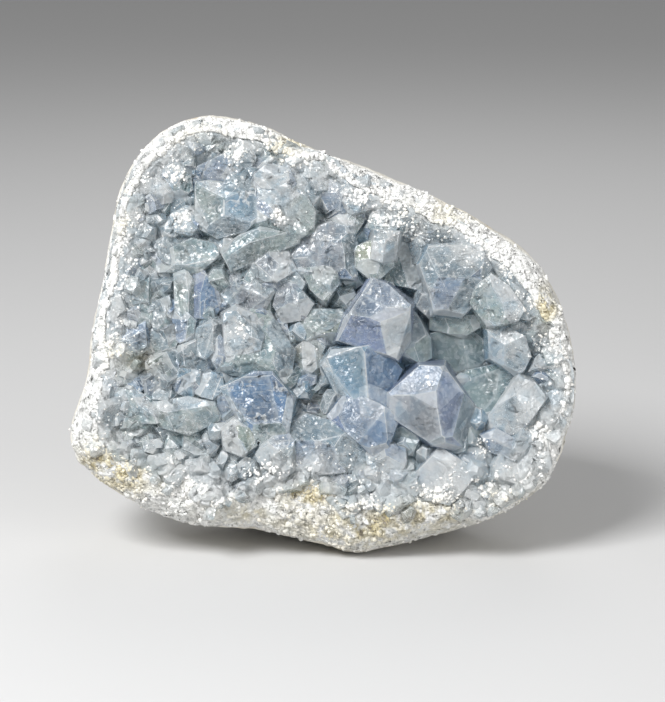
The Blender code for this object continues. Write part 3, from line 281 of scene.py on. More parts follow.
UPPER = (
    ("GBWSG", ((-37, 48), (-30.3, 48.5), (-20.3, 47.5), (-20, 37.5), (-23.5, 34.5), (-31, 32.8),
        (-37, 36)), (
        (-30.4, 42, 1.5, 0.3, 0), (-0.12, 0.05), (-28, 46.3, 1.4, 0.05, -0.5), (-28, 36, 1, 0, 0.6))),
    ("SS", ((-30, 46.5), (-27, 50.5), (-23, 52.5), (-20, 52), (-20, 44), (-26, 44)), (
        (-25, 48, 0.8, -0.15, -0.25),)),
    ("LGGWG", ((-20.3, 47), (-14, 48.5), (-6, 45), (-3, 40), (-3.5, 34.5), (-9, 32.3), (-20.3, 35)), (
        (-14.2, 41, 2, 0.35, 0.05), (-0.25, 0.1), (-10, 36.5, 0.6, 0, 0.6), (-12, 44, 1.6, 0, -0.5))),
    ("WLWL", ((-19.5, 50.5), (-16, 53.5), (-10.5, 52), (-8.5, 48), (-10.5, 45), (-19.5, 47)), (
        (-14, 49, 1.2, 0.2, 0.2), (-0.3, 0), (-14, 50, 1.2, 0, -0.5))),
    ("SSSS", ((-11, 49.5), (-6, 50), (-1, 46.5), (-1.5, 43), (-5, 40.5), (-10, 44)), (
        (-6, 46, -0.8, 0.2, 0.2), (-0.35, 0), (-6, 47.5, -0.8, 0, -0.5))),
    ("TGG", ((-29.8, 28.5), (-20, 35.2), (-16, 34), (-7.5, 32.2), (-8, 30.5), (-26.5, 22.5)), (
        (-21, 30, 0.5, 0.18, -0.3), (-0.18, 0.3))),
    ("LLWL", ((-35.2, 50), (-33.5, 54), (-29.5, 56.3), (-24.8, 53), (-28.5, 47.8), (-33, 48.3)), (
        (-30, 52, 0.5, 0.25, 0.1), (-0.25, -0.2), (-30, 50.5, 0.4, 0, 0.5))),
    ("WWWW", ((-26.5, 60), (-21.5, 59.5), (-20.6, 55.5), (-24, 50.3), (-26.5, 51)), (
        (-24, 56, 0.8, 0.35, 0.1), (-0.35, 0.15), (-24, 57, 0.8, 0, -0.35))),
    ("BGBB", ((-47, 52), (-43.5, 55.3), (-40, 53), (-39.5, 47), (-42.5, 44), (-46.5, 46.5)), (
        (-43, 50, -1.2, 0.35, 0.1), (-0.4, 0), (-43, 48.5, -1.3, 0, 0.45))),
    ("WWWW", ((-52.5, 49), (-48, 49.5), (-44.8, 46.5), (-45.8, 43.5), (-50, 42.3), (-53, 45.5)), (
        (-48.5, 46.5, -0.8, 0.25, 0.2), (-0.4, -0.1), (-49, 45, -1, 0.1, 0.5))),
    ("GGSG", ((-49, 22.5), (-45, 28.5), (-39, 31), (-31.5, 30), (-30.5, 27), (-37, 22.3)), (
        (-40, 27, -0.8, 0.05, -0.25), (0, 0.3), (-44, 26, -0.9, 0.5, -0.1))),
    ("WWW", ((-44.5, 38.5), (-42, 41), (-38.5, 40.5), (-37, 36), (-39.5, 33.5), (-43.5, 34.5)), (
        (-41, 37, -1, 0.3, 0.15), (-0.35, -0.2))),
    ("VDV", ((-39, 22.3), (-36, 22.8), (-32, 16.5), (-31, 12), (-34, 8.5), (-38.8, 9)), (
        (-36, 15, -2, 0.4, 0), (-0.35, 0.1))),
    ("GGGG", ((-44, 20.5), (-40.5, 22), (-38.6, 18), (-38.6, 9), (-41.5, 7), (-43.5, 10)), (
        (-40.5, 15, -1, 0.3, 0.05), (-0.5, 0), (-40.5, 12, -1.1, 0, 0.35))),
    ("LLL", ((-59.8, 19.5), (-57.5, 21.3), (-55, 19), (-55.5, 15.5), (-58.5, 15)), (
        (-57.5, 18, -2, 0.3, 0.2), (-0.4, -0.1))),
    ("DDD", ((-51, 28), (-48.5, 31), (-46, 29), (-46, 25.5), (-49, 24)), (
        (-48.5, 27.5, -3.5, 0.3, 0.1), (-0.4, -0.1))),
    ("BLB", ((-0.5, 51.5), (4.5, 51), (6, 47.5), (5, 42.5), (1.5, 40.8), (-0.8, 44)), (
        (2.5, 46.8, -2, 0.1, -0.4), (-0.1, 0.35))),
    ("WWWW", ((6, 49), (11, 48.5), (15.5, 45), (14, 41.5), (9, 39.5), (6, 43)), (
        (10, 44.5, -1, 0.3, 0.1), (-0.3, 0.2), (10, 46, -1, 0, -0.45))),
)
LOWER = (
    ("SSS", ((-36.8, -2.5), (-36.3, 4.5), (-33, 6.8), (-30.5, 6), (-31.5, 0), (-34.5, -3.5)), (
        (-33.8, 3, 0.5, 0.55, 0), (-0.5, 0.15))),
    ("WLW", ((-34, -1.5), (-30.5, 2.5), (-28.3, -1), (-28.5, -6), (-31, -7.3)), (
        (-30.5, -2, -0.8, 0.3, 0.1), (-0.5, 0.2))),
    ("BBLB", ((-44, -9.5), (-41, -7), (-37, -8.5), (-36.5, -13.5), (-40, -15), (-43.5, -13.5)), (
        (-40, -10.5, -1.5, 0.3, -0.2), (-0.35, 0.2), (-40, -12, -1.6, 0, 0.5))),
    ("BBB", ((-38, -9), (-34, -8), (-30.5, -10), (-30, -13.5), (-33, -15.5), (-37, -14.5)), (
        (-34, -11, -1.2, 0.3, -0.1), (-0.3, 0.15))),
    ("TST", ((-50, -3), (-44.5, -2.5), (-43.5, -8.5), (-49, -9.5)), (
        (-47, -6, -3, 0.2, 0.2), (-0.35, -0.1))),
    ("SSS", ((-43, -1), (-38, 1), (-34.5, -3), (-35.5, -7), (-42, -7)), (
        (-39, -3.5, -1.8, 0.3, 0.1), (-0.3, 0.2))),
    ("DDD", ((-59, -10.5), (-52, -9.3), (-49.5, -12), (-54, -14.5), (-58.5, -13)), (
        (-54, -11.5, -4, 0.1, 0.3), (-0.1, -0.3))),
    ("GWGG", ((-60.5, -13.5), (-56, -13.8), (-48.5, -19), (-49, -23), (-57, -22.5), (-61, -18)), (
        (-54.5, -18, -1, 0.1, 0.25), (-54.5, -17, -0.8, -0.5, -0.7), (-57, -18, -1.2, 0.5, 0.1))),
    ("GWGG", ((-49.5, -17.5), (-40, -16.5), (-33, -17.5), (-31, -22), (-40, -26), (-48, -24)), (
        (-40, -18.5, -0.4, 0.02, 0.25), (0, -0.7), (-37, -21, -1, -0.3, 0.3))),
    ("WYWW", ((-29.3, -25), (-26, -22.5), (-22, -25), (-20.3, -29.5), (-24, -32.3), (-28.5, -30.5)), (
        (-25, -27, 0.6, 0.35, 0.1), (-0.3, 0.15), (-25, -26, 0.6, 0, -0.45))),
    ("WGLG", ((-19.3, -33.5), (-16.5, -29), (-11, -26.3), (-8.8, -29), (-8.5, -36), (-12, -39.5)), (
        (-13, -33, 1.5, 0.4, 0.1), (-0.2, 0.15), (-13, -31, 1.5, 0.05, -0.45))),
    ("SLSS", ((-10, -24), (-5, -21.5), (2, -23.5), (13.5, -31.5), (12, -37), (-6, -38.5), (-10, -33)), (
        (1, -28, -0.2, 0.1, -0.35), (0.08, 0.2), (6, -29, 0, -0.35, 0.1))),
    ("WLWW", ((14, -32.5), (19.5, -29.5), (24, -31.5), (24.5, -36), (19, -38.5), (14.5, -36.5)), (
        (19, -33.5, -1.2, 0.3, 0.1), (-0.3, -0.1), (19, -35, -1.3, 0, 0.4))),
    ("TGT", ((-60, 9), (-56, 13), (-51, 13), (-50, 7), (-55, 4)), (
        (-55.5, 9, -2.5, 0.3, 0.15), (-0.25, -0.2))),
    ("STS", ((-50.5, 12), (-46, 14), (-44.5, 8), (-48, 4.5), (-51, 6)), (
        (-48, 9, -1.6, 0.35, 0), (-0.4, 0.15))),
    ("LGL", ((-44.5, 9), (-41.5, 10.5), (-38.5, 7), (-39, 2.5), (-42.5, 1.5), (-45, 4.5)), (
        (-41.5, 6, -1, 0.4, 0.1), (-0.45, 0.1))),
    ("STS", ((-52, 4), (-47, 4.5), (-44, 1), (-45.5, -3), (-50.5, -2.5)), (
        (-48, 1, -2.6, 0.3, -0.1), (-0.3, 0.2))),
)


def all_faces(faces: tuple) -> tuple:
    """The faces of a row, each with its point: one that gives only its slopes has the point of the one before.

    Args:
        faces: The faces as listed.

    Returns:
        The faces with five numbers each.
    """
    filled = []
    for face in faces:
        filled.append(face if len(face) == 5 else filled[-1][:3] + face)
    return tuple(filled)


SEEN_CRYSTALS = tuple(
    SeenCrystal(tints, outline, all_faces(faces), (tints, outline, faces) in POCKET)
    for tints, outline, faces in POCKET + MIDDLE + UPPER + LOWER
)


def lattice(cells: Array, salt: int) -> Array:
    """A seeded value from 0 to 1 for each whole-number cell: its three numbers folded together.

    Args:
        cells: Whole-number cells, one row each.
        salt: Seed of the pattern.

    Returns:
        A value from -1 to 1 for each cell.
    """
    mixed = (cells.astype(np.int64) * (73856093, 19349663, 83492791)).sum(axis=-1) ^ (salt * 40503)
    for factor, shift in ((0x45D9F3B, 15), (0x119DE1F3, 13)):
        mixed = ((mixed ^ (mixed >> shift)) * factor) & 0xFFFFFFFF
    return (mixed ^ (mixed >> 16)) / 0xFFFFFFFF


def soft_noise(points: Array, size: float, salt: int) -> Array:
    """Smooth noise from -1 to 1: the values of a cell's eight corners, blended by the place in the cell.

    Args:
        points: Places in face-frame mm.
        size: Size of a lump, in mm.
        salt: Seed of the pattern.

    Returns:
        A value from -1 to 1 for each place.
    """
    cell = np.floor(points / size)
    part = points / size - cell
    part = part * part * (3 - 2 * part)
    total = np.zeros(points.shape[:-1])
    for corner in product((0, 1), repeat=3):
        weight = np.where(corner, part, 1 - part).prod(axis=-1)
        total += weight * lattice(cell + corner, salt)
    return 2 * total - 1


def fractal(points: Array, size: float, octaves: int, salt: int) -> Array:
    """Soft noise summed over octaves, each half as large and half as strong as the one before.

    Args:
        points: Places in face-frame mm.
        size: Size of the largest lump, in mm.
        octaves: How many sizes are added.
        salt: Seed of the pattern.

    Returns:
        A value near -1 to 1 for each place.
    """
    layers = [soft_noise(points, size / 2**octave, salt + octave) / 2**octave for octave in range(octaves)]
    return np.sum(layers, axis=0)


def grains(points: Array, size: float, salt: int) -> tuple[Array, Array]:
    """Broken crystal grains: each point belongs to the nearest seeded middle and lies on its tilted face.

    Args:
        points: places in millimetres, last axis u, v, w.
        size: spacing of the grains' middles.
        salt: seed.

    Returns:
        The tilted faces' height from about -1 to 1, and the distance to the nearest middle over the size.
    """
    cell = np.floor(points / size)
    nearest = np.full(points.shape[:-1], np.inf)
    height = np.zeros(points.shape[:-1])
    for corner in product((-1, 0, 1), repeat=3):
        there = cell + corner
        middle = there + np.stack([lattice(there, salt + axis) for axis in range(3)], axis=-1)
        away = points / size - middle
        distance = (away**2).sum(axis=-1)
        tilt = np.stack([lattice(there, salt + axis) for axis in range(3, 6)], axis=-1) - 0.5
        face = (away * tilt).sum(axis=-1) * 2 + lattice(there, salt + 6) - 0.5
        closer = distance < nearest
        height = np.where(closer, face, height)
        nearest = np.where(closer, distance, nearest)
    return height, np.sqrt(nearest)


@dataclass(frozen=True)
class StoneForm:
    """The whole stone's form, with the same sizes as the solid it stands for, in millimetres."""

    back_w: float = -70.0
    face_lean_deg: float = 14.0
    stand: Triple = (-0.44, -30.3, 64.5)
    tuck: float = 1.25
    middle: tuple[float, float] = (20.0, 6.0)
    face_w: float = -2.5
    wall_drop: float = 10.0
    wall_run: float = 3.2
    pocket_drop: float = 13.0
    pocket_reach: tuple[float, float] = (30.0, 26.0)
    level_reach: float = 12.0
    flat_sharpness: float = 14.0
    lump: tuple[float, float] = (1.3, 31.0)
    small_lump: tuple[float, float] = (0.5, 14.0)
    lump_fade: float = 1.6
    curve_steps: int = 12

    def stance(self) -> Matrix:
        """The matrix from the face frame in millimetres to the standing stone in metres.

        Returns:
            The turn and the lift, from face-frame mm to metres.
        """
        lean = math.radians(self.face_lean_deg)
        axes = Matrix((
            (1.0, 0.0, 0.0, self.stand[0]),
            (0.0, math.sin(lean), -math.cos(lean), self.stand[1]),
            (0.0, math.cos(lean), math.sin(lean), self.stand[2]),
            (0.0, 0.0, 0.0, 1.0),
        ))
        return Matrix.Scale(0.001, 4) @ axes

    def to_world(self, points: Array) -> Array:
        """Face-frame points in millimetres, leaned back and stood on the floor, in metres."""
        matrix = np.array(self.stance())
        return points @ matrix[:3, :3].T + matrix[:3, 3]

    def radius(self, angle: Array) -> Array:
        """Distance to the silhouette at each angle, read from a closed Catmull-Rom curve through OUTLINE.

        Args:
            angle: Angle round the face.

        Returns:
            Distance from the middle, in mm.
        """
        p1 = np.array(OUTLINE)[:, None, :]
        p0, p2, p3 = (np.roll(p1, shift, axis=0) for shift in (1, -1, -2))
        t = np.linspace(0.0, 1.0, self.curve_steps, endpoint=False)[None, :, None]
        curve = 0.5 * (
            2 * p1 + (p2 - p0) * t + (2 * p0 - 5 * p1 + 4 * p2 - p3) * t**2
            + (3 * p1 - p0 - 3 * p2 + p3) * t**3
        )
        u, v = curve.reshape(-1, 2).T
        return np.interp(angle, np.arctan2(v, u), np.hypot(u, v), period=2 * math.pi)

    @staticmethod
    def rim(values: tuple, angle: Array) -> Array:
        """A value given at RIM_ANGLES, read at each angle."""
        return np.interp(np.degrees(angle), RIM_ANGLES, values, period=360.0)

    def rim_width(self, angle: Array) -> Array:
        """Width of the rim at each angle, made ragged by noise along the rim.

        Args:
            angle: Angle round the face.

        Returns:
            Width in mm.
        """
        ring = 60.0 * np.stack([np.cos(angle), np.sin(angle), np.zeros_like(angle)], axis=-1)
        return self.rim(RIM_WIDTH, angle) * (1 + 0.42 * fractal(ring, 11.0, 3, 700))

    @staticmethod
    def lumps(points: Array, length: float) -> Array:
        """Gentle lumps from -1 to 1: a sum of three waves across each other.

        Args:
            points: Places in face-frame mm.
            length: Size of the largest lump, in mm.

        Returns:
            Height, -1 to 1.
        """
        u, v, w = np.moveaxis(points * (2 * math.pi / length), -1, 0)
        first = np.sin(u + 1.3 * np.sin(0.7 * v + 0.4))
        second = np.sin(1.1 * v + 1.7 * np.sin(0.6 * w))
        third = np.sin(0.9 * w + 1.1 * u)
        return (first + second + third) / 3

    def weathered(self, points: Array) -> Array:
        """Back points taken in to the ground flats, by a smooth least distance, and raised by the lumps.

        Args:
            points: Places in face-frame mm.

        Returns:
            The moved places.
        """
        away = points - np.array(STONE_MIDDLE)
        reach = np.linalg.norm(away, axis=-1)
        ray = away / reach[..., None]
        closeness = reach**-self.flat_sharpness
        for direction, distance in BACK_FLATS:
            normal = np.array(direction) / np.linalg.norm(direction)
            closeness = closeness + (np.maximum(ray @ normal, 0.0) / distance) ** self.flat_sharpness
        behind = np.clip(-ray[..., 2] * self.lump_fade, 0.0, 1.0)
        relief = self.lump[0] * self.lumps(points, self.lump[1])
        relief = relief + self.small_lump[0] * self.lumps(points, self.small_lump[1])
        reach = closeness ** (-1 / self.flat_sharpness) + behind * relief
        return np.array(STONE_MIDDLE) + ray * reach[..., None]

    def back(self, angle: Array, share: Array) -> Array:
        """The back, from its middle at share 0 to the widest section at 1: a superellipse each way.

        Args:
            angle: Angle round the face.
            share: Share of the way, 0 to 1.

        Returns:
            Places in face-frame mm.
        """
        slope = (share - 1) * math.pi / 2
        power, widest = self.rim(BACK_POWER, angle), self.rim(WIDEST_W, angle)
        out, back = np.cos(slope) / self.radius(angle), -np.sin(slope) / (widest - self.back_w)
        reach = (np.abs(out) ** power + np.abs(back) ** power) ** (-1 / power)
        across = reach * np.cos(slope)
        w = widest + reach * np.sin(slope)
        points = np.stack([across * np.cos(angle), across * np.sin(angle), w], axis=-1)
        return self.weathered(points)

    def rim_line(self, angle: Array, inset: float) -> tuple[Array, Array]:
        """The line where the rock gives way to crystals, moved in by inset.

        Args:
            angle: Angle round the face.
            inset: Distance inside the line, in mm.

        Returns:
            The line's u and v.
        """
        radius = self.radius(angle) - self.rim_width(angle) - inset
        return radius * np.cos(angle), radius * np.sin(angle)

    def shoulder(self, angle: Array, share: Array) -> Array:
        """The rounded rim, from the widest section at share 0 to its inner line at 1: quarter ellipses.

        Args:
            angle: Angle round the face.
            share: Share of the way, 0 to 1.

        Returns:
            Places in face-frame mm.
        """
        edge = self.back(angle, np.ones_like(angle))
        u, v = self.rim_line(angle, 0.0)
        inward = (1 - np.cos(share * math.pi / 2)) ** self.tuck
        w = edge[..., 2] + (self.rim(RIM_LINE_W, angle) - edge[..., 2]) * np.sin(share * math.pi / 2)
        u, v = edge[..., 0] + (u - edge[..., 0]) * inward, edge[..., 1] + (v - edge[..., 1]) * inward
        return np.stack([u, v, w], axis=-1)

    def hollow(self, angle: Array, share: Array, gap: float) -> Array:
        """The hollow's floor, from the rim's line at share 0 to its deepest spot at 1, raised by gap.

        The floor drops from the rim along an exponential wall, and a bell-shaped pocket deepens its middle.

        Args:
            angle: Angle round the face.
            share: Share of the way, 0 to 1.
            gap: Distance in front of the floor, in mm.

        Returns:
            Places in face-frame mm.
        """
        u, v = self.rim_line(angle, gap)
        middle_u, middle_v = self.middle
        inward = np.hypot(u - middle_u, v - middle_v) * share
        u, v = middle_u + (u - middle_u) * (1 - share), middle_v + (v - middle_v) * (1 - share)
        rise = self.rim(RIM_LINE_W, angle) - self.face_w
        level = self.face_w + rise * np.exp(-((inward / self.level_reach) ** 2))
        sunk = 1 - np.exp(-inward / self.wall_run)
        return np.stack([u, v, level - (self.wall_drop + self.pocket(u, v)) * sunk + gap], axis=-1)

    def pocket(self, u: Array, v: Array) -> Array:
        """How much deeper the pocket makes the hollow: a bell round its middle.

        Args:
            u: Place across the face, in mm.
            v: Place up the face, in mm.

        Returns:
            Depth in mm.
        """
        across = (u - self.middle[0]) / self.pocket_reach[0]
        along = (v - self.middle[1]) / self.pocket_reach[1]
        return self.pocket_drop * np.exp(-(across**2) - along**2)

    def floor_w(self, u: Array, v: Array) -> Array:
        """Height of the hollow's floor at points well inside the rim."""
        return self.face_w - self.wall_drop - self.pocket(u, v)


def write_mesh(name: str, corners: Array, loops: Array, counts: Array) -> Object:
    """Makes an object from whole arrays.

    Args:
        name: the object's and its mesh's name.
        corners: places in metres.
        loops: corner numbers of all the faces, one face after the other.
        counts: how many corners each face has.

    Returns:
        The new object, linked to the scene.
    """
    mesh = bpy.data.meshes.new(name)
    mesh.vertices.add(len(corners))
    mesh.vertices.foreach_set("co", np.ascontiguousarray(corners, dtype=np.float32).ravel())
    mesh.loops.add(len(loops))
    mesh.loops.foreach_set("vertex_index", loops.astype(np.int32))
    mesh.polygons.add(len(counts))
    mesh.polygons.foreach_set("loop_start", (np.cumsum(counts) - counts).astype(np.int32))
    mesh.update(calc_edges=True)
    mesh.validate()
    obj = bpy.data.objects.new(name, mesh)
    bpy.context.scene.collection.objects.link(obj)
    return obj


def store(mesh: Mesh, name: str, domain: str, values: Array) -> None:
    """Stores a number or a colour for each point, face or corner of a face.

    Args:
        mesh: Mesh that gets the attribute.
        name: Name of the attribute.
        domain: "POINT", "FACE" or "CORNER".
        values: One number or one row of four for each.
    """
    kind, slot = ("FLOAT_COLOR", "color") if values.ndim == 2 else ("FLOAT", "value")
    mesh.attributes.new(name, kind, domain).data.foreach_set(slot, values.astype(np.float32).ravel())


def numbers(mesh: Mesh, what: str, slot: str, width: int, kind: type = float) -> Array:
    """Reads a list of a mesh as one array.

    Args:
        mesh: Mesh to read.
        what: Its list, or the name of an attribute.
        slot: The value's name in the list.
        width: How many numbers each item holds.
        kind: Type of the numbers.

    Returns:
        One number or one row for each item.
    """
    rows = getattr(mesh, what, None) or mesh.attributes[what].data
    found = np.empty(width * len(rows), dtype=kind)
    rows.foreach_get(slot, found)
    return found.reshape(-1, width) if width > 1 else found


def polar_grid(segments: int, rings: int) -> tuple[Array, Array]:
    """Ring numbers and angles of the points on rings round two poles.

    Args:
        segments: points on each ring.
        rings: steps from pole to pole.

    Returns:
        Ring number and angle of each point, one row for each ring.
    """
    turn = np.linspace(-math.pi, math.pi, segments, endpoint=False)
    return np.meshgrid(np.arange(rings + 1.0), turn, indexing="ij")


def pole_to_pole(grid: Array) -> Array:
    """The points of such a grid in one row, with one point for each pole."""
    return np.concatenate([grid[:1, 0], grid[1:-1].reshape(-1, *grid.shape[2:]), grid[-1:, 0]])


def closed_grid(segments: int, rings: int) -> tuple[Array, Array]:
    """Faces of a closed surface of rings round two poles: fans at the poles and squares between them.

    Args:
        segments: points on each ring.
        rings: steps from pole to pole. The first point is the lower pole and the last is the upper one.

    Returns:
        Corner numbers of the faces, one after the other, and how many corners each face has.
    """
    here = np.arange(segments)
    onward = (here + 1) % segments
    last = 1 + (rings - 1) * segments
    below = np.stack([np.zeros_like(here), 1 + onward, 1 + here], axis=1)
    above = np.stack([np.full_like(here, last), last - segments + here, last - segments + onward], axis=1)
    row = 1 + segments * np.arange(rings - 2)[:, None]
    squares = np.stack([row + here, row + onward, row + segments + onward, row + segments + here], axis=-1)
    squares = squares.reshape(-1, 4)
    loops = np.concatenate([below.ravel(), squares.ravel(), above.ravel()])
    counts = np.concatenate([np.full(segments, 3), np.full(len(squares), 4), np.full(segments, 3)])
    return loops, counts


class NodeSheet:
    """A material's node tree, with short calls for the nodes that the finishes share."""

    def __init__(self, name: str) -> None:
        """Starts a material with a Principled shader.

        Args:
            name: Name of the material.
        """
        self.material = bpy.data.materials.new(name)
        self.material.use_nodes = True
        self.tree = self.material.node_tree
        self.shader = self.tree.nodes["Principled BSDF"]
        self.place = self.add("ShaderNodeTexCoord").outputs["Object"]

    def add(self, kind: str, **settings: object) -> Node:
        """A new node with its settings.

        Args:
            kind: Blender's name of the node type.
            settings: Its settings by name.

        Returns:
            The node.
        """
        node = self.tree.nodes.new(kind)
        for key, value in settings.items():
            setattr(node, key, value)
        return node

    def put(self, socket: Socket, value: object) -> None:
        """Sets a socket to a plain value or links it.

        Args:
            socket: Input to fill.
            value: A number, a colour or a socket.
        """
        if isinstance(value, Socket):
            self.tree.links.new(value, socket)
        else:
            socket.default_value = value

    def show(self, name: str, value: object) -> None:
        """Sets or links one of the shader's inputs."""
        self.put(self.shader.inputs[name], value)

    def number(self, name: str) -> Socket:
        """A number stored on the mesh."""
        return self.add("ShaderNodeAttribute", attribute_name=name).outputs["Fac"]

    def colour(self, name: str) -> Socket:
        """A colour stored on the mesh."""
        return self.add("ShaderNodeAttribute", attribute_name=name).outputs["Color"]

    def noise(self, size_mm: float, detail: float = 3.0, warp: float = 0.0) -> Socket:
        """Noise from 0 to 1 whose lumps are about size_mm across.

        Args:
            size_mm: Size of the pattern, in mm.
            detail: Levels of detail.
            warp: Distortion.

        Returns:
            The socket.
        """
        node = self.add("ShaderNodeTexNoise")
        self.put(node.inputs["Vector"], self.place)
        self.put(node.inputs["Scale"], 1000.0 / size_mm)
        self.put(node.inputs["Detail"], detail)
        self.put(node.inputs["Distortion"], warp)
        return node.outputs["Fac"]

    def cells(self, size_mm: float, feature: str, randomness: float) -> Node:
        """A cell pattern whose cells are about size_mm across.

        Args:
            size_mm: Size of the pattern, in mm.
            feature: What is measured.
            randomness: Disorder, 0 to 1.

        Returns:
            The node.
        """
        node = self.add("ShaderNodeTexVoronoi", feature=feature)
        self.put(node.inputs["Vector"], self.place)
        self.put(node.inputs["Scale"], 1000.0 / size_mm)
        self.put(node.inputs["Randomness"], randomness)
        return node

    def vector(self, operation: str, first: object, second: object) -> Node:
        """Arithmetic on two vectors.

        Args:
            operation: Name of the operation.
            first: First value.
            second: Second value.

        Returns:
            The node.
        """
        node = self.add("ShaderNodeVectorMath", operation=operation)
        self.put(node.inputs[0], first)
        self.put(node.inputs[1], second)
        return node

    def flakes(self, size_mm: float, stir_mm: float = 0.0) -> tuple[Socket, Socket]:
        """Tilted flakes about size_mm across: their height in metres and a random number for each.

        A flake's height is the dot product of a random direction with the way from its cell's point. Noise
        stirs the places first, so that the flakes' edges are a little ragged.

        Args:
            size_mm: Size of the pattern, in mm.
            stir_mm: How far the cells' edges wander.

        Returns:
            Sockets of height and of a random tone.
        """
        noise = self.noise(size_mm / 0.7, 2.0).node
        swirl = self.vector("SUBTRACT", noise.outputs["Color"], (0.5, 0.5, 0.5)).outputs[0]
        swirl = self.vector("MULTIPLY", swirl, (stir_mm / 1000.0,) * 3).outputs[0]
        place = self.vector("ADD", self.place, swirl).outputs[0]
        cell = self.cells(size_mm, "F1", 1.0)
        self.put(cell.inputs["Vector"], place)
        away = self.vector("SUBTRACT", place, cell.outputs["Position"]).outputs[0]
        aim = self.vector("SUBTRACT", cell.outputs["Color"], (0.5, 0.5, 0.5)).outputs[0]
        return self.vector("DOT_PRODUCT", away, aim).outputs["Value"], self.red_share(cell.outputs["Color"])

    def streaks(self, turn: Triple, across_mm: float, along_mm: float) -> Socket:
        """Noise from 0 to 1 drawn out along one direction.

        Args:
            turn: Turn about the three axes, in radians.
            across_mm: Width of a streak.
            along_mm: Length of a streak.

        Returns:
            The socket.
        """
        node = self.add("ShaderNodeMapping")
        self.put(node.inputs["Vector"], self.place)
        self.put(node.inputs["Rotation"], turn)
        self.put(node.inputs["Scale"], (1000.0 / along_mm, 1000.0 / across_mm, 1000.0 / across_mm))
        noise = self.noise(1000.0, 2.0)
        self.put(noise.node.inputs["Vector"], node.outputs[0])
        return noise

    def red_share(self, colour: Socket) -> Socket:
        """The first channel of a colour.

        Args:
            colour: Socket of the colour.

        Returns:
            The socket.
        """
        node = self.add("ShaderNodeSeparateColor")
        self.put(node.inputs[0], colour)
        return node.outputs[0]

    def between(self, value: object, low: float, high: float) -> Socket:
        """A value's smooth share of the way from low to high.

        Args:
            value: Value to stretch.
            low: Value that becomes 0.
            high: Value that becomes 1.

        Returns:
            The socket.
        """
        node = self.add("ShaderNodeMapRange", interpolation_type="SMOOTHSTEP")
        self.put(node.inputs["Value"], value)
        self.put(node.inputs["From Min"], low)
        self.put(node.inputs["From Max"], high)
        return node.outputs["Result"]

    def math(self, operation: str, first: object, second: object = 0.0) -> Socket:
        """Arithmetic on one or two numbers.

        Args:
            operation: Name of the operation.
            first: First value.
            second: Second value.

        Returns:
            The socket.
        """
        node = self.add("ShaderNodeMath", operation=operation)
        self.put(node.inputs[0], first)
        self.put(node.inputs[1], second)
        return node.outputs[0]

    def times(self, first: object, second: object) -> Socket:
        """The product of two numbers."""
        return self.math("MULTIPLY", first, second)

    def most(self, first: object, second: object) -> Socket:
        """The larger of two numbers."""
        return self.math("MAXIMUM", first, second)

    def mix(self, share: object, first: object, second: object, blend: str = "MIX") -> Socket:
        """Two colours mixed by a share.

        Args:
            share: Share of the second, 0 to 1.
            first: First value.
            second: Second value.
            blend: How the two are blended.

        Returns:
            The socket.
        """
        node = self.add("ShaderNodeMix", data_type="RGBA", blend_type=blend)
        self.put(node.inputs[0], share)
        for socket, value in ((node.inputs[6], first), (node.inputs[7], second)):
            self.put(socket, (*value, 1.0) if isinstance(value, tuple) else value)
        return node.outputs[2]

    def bump(self, height: object, distance_mm: float, below: Socket | None = None) -> Socket:
        """A bump of a height from 0 to 1, on top of another bump if one is given.

        Args:
            height: Socket of the height.
            distance_mm: Height of a step of 1.
            below: Normal of the bump underneath.

        Returns:
            Socket of the normal.
        """
        node = self.add("ShaderNodeBump")
        self.put(node.inputs["Height"], height)
        self.put(node.inputs["Distance"], distance_mm / 1000.0)
        if below is not None:
            self.put(node.inputs["Normal"], below)
        return node.outputs["Normal"]


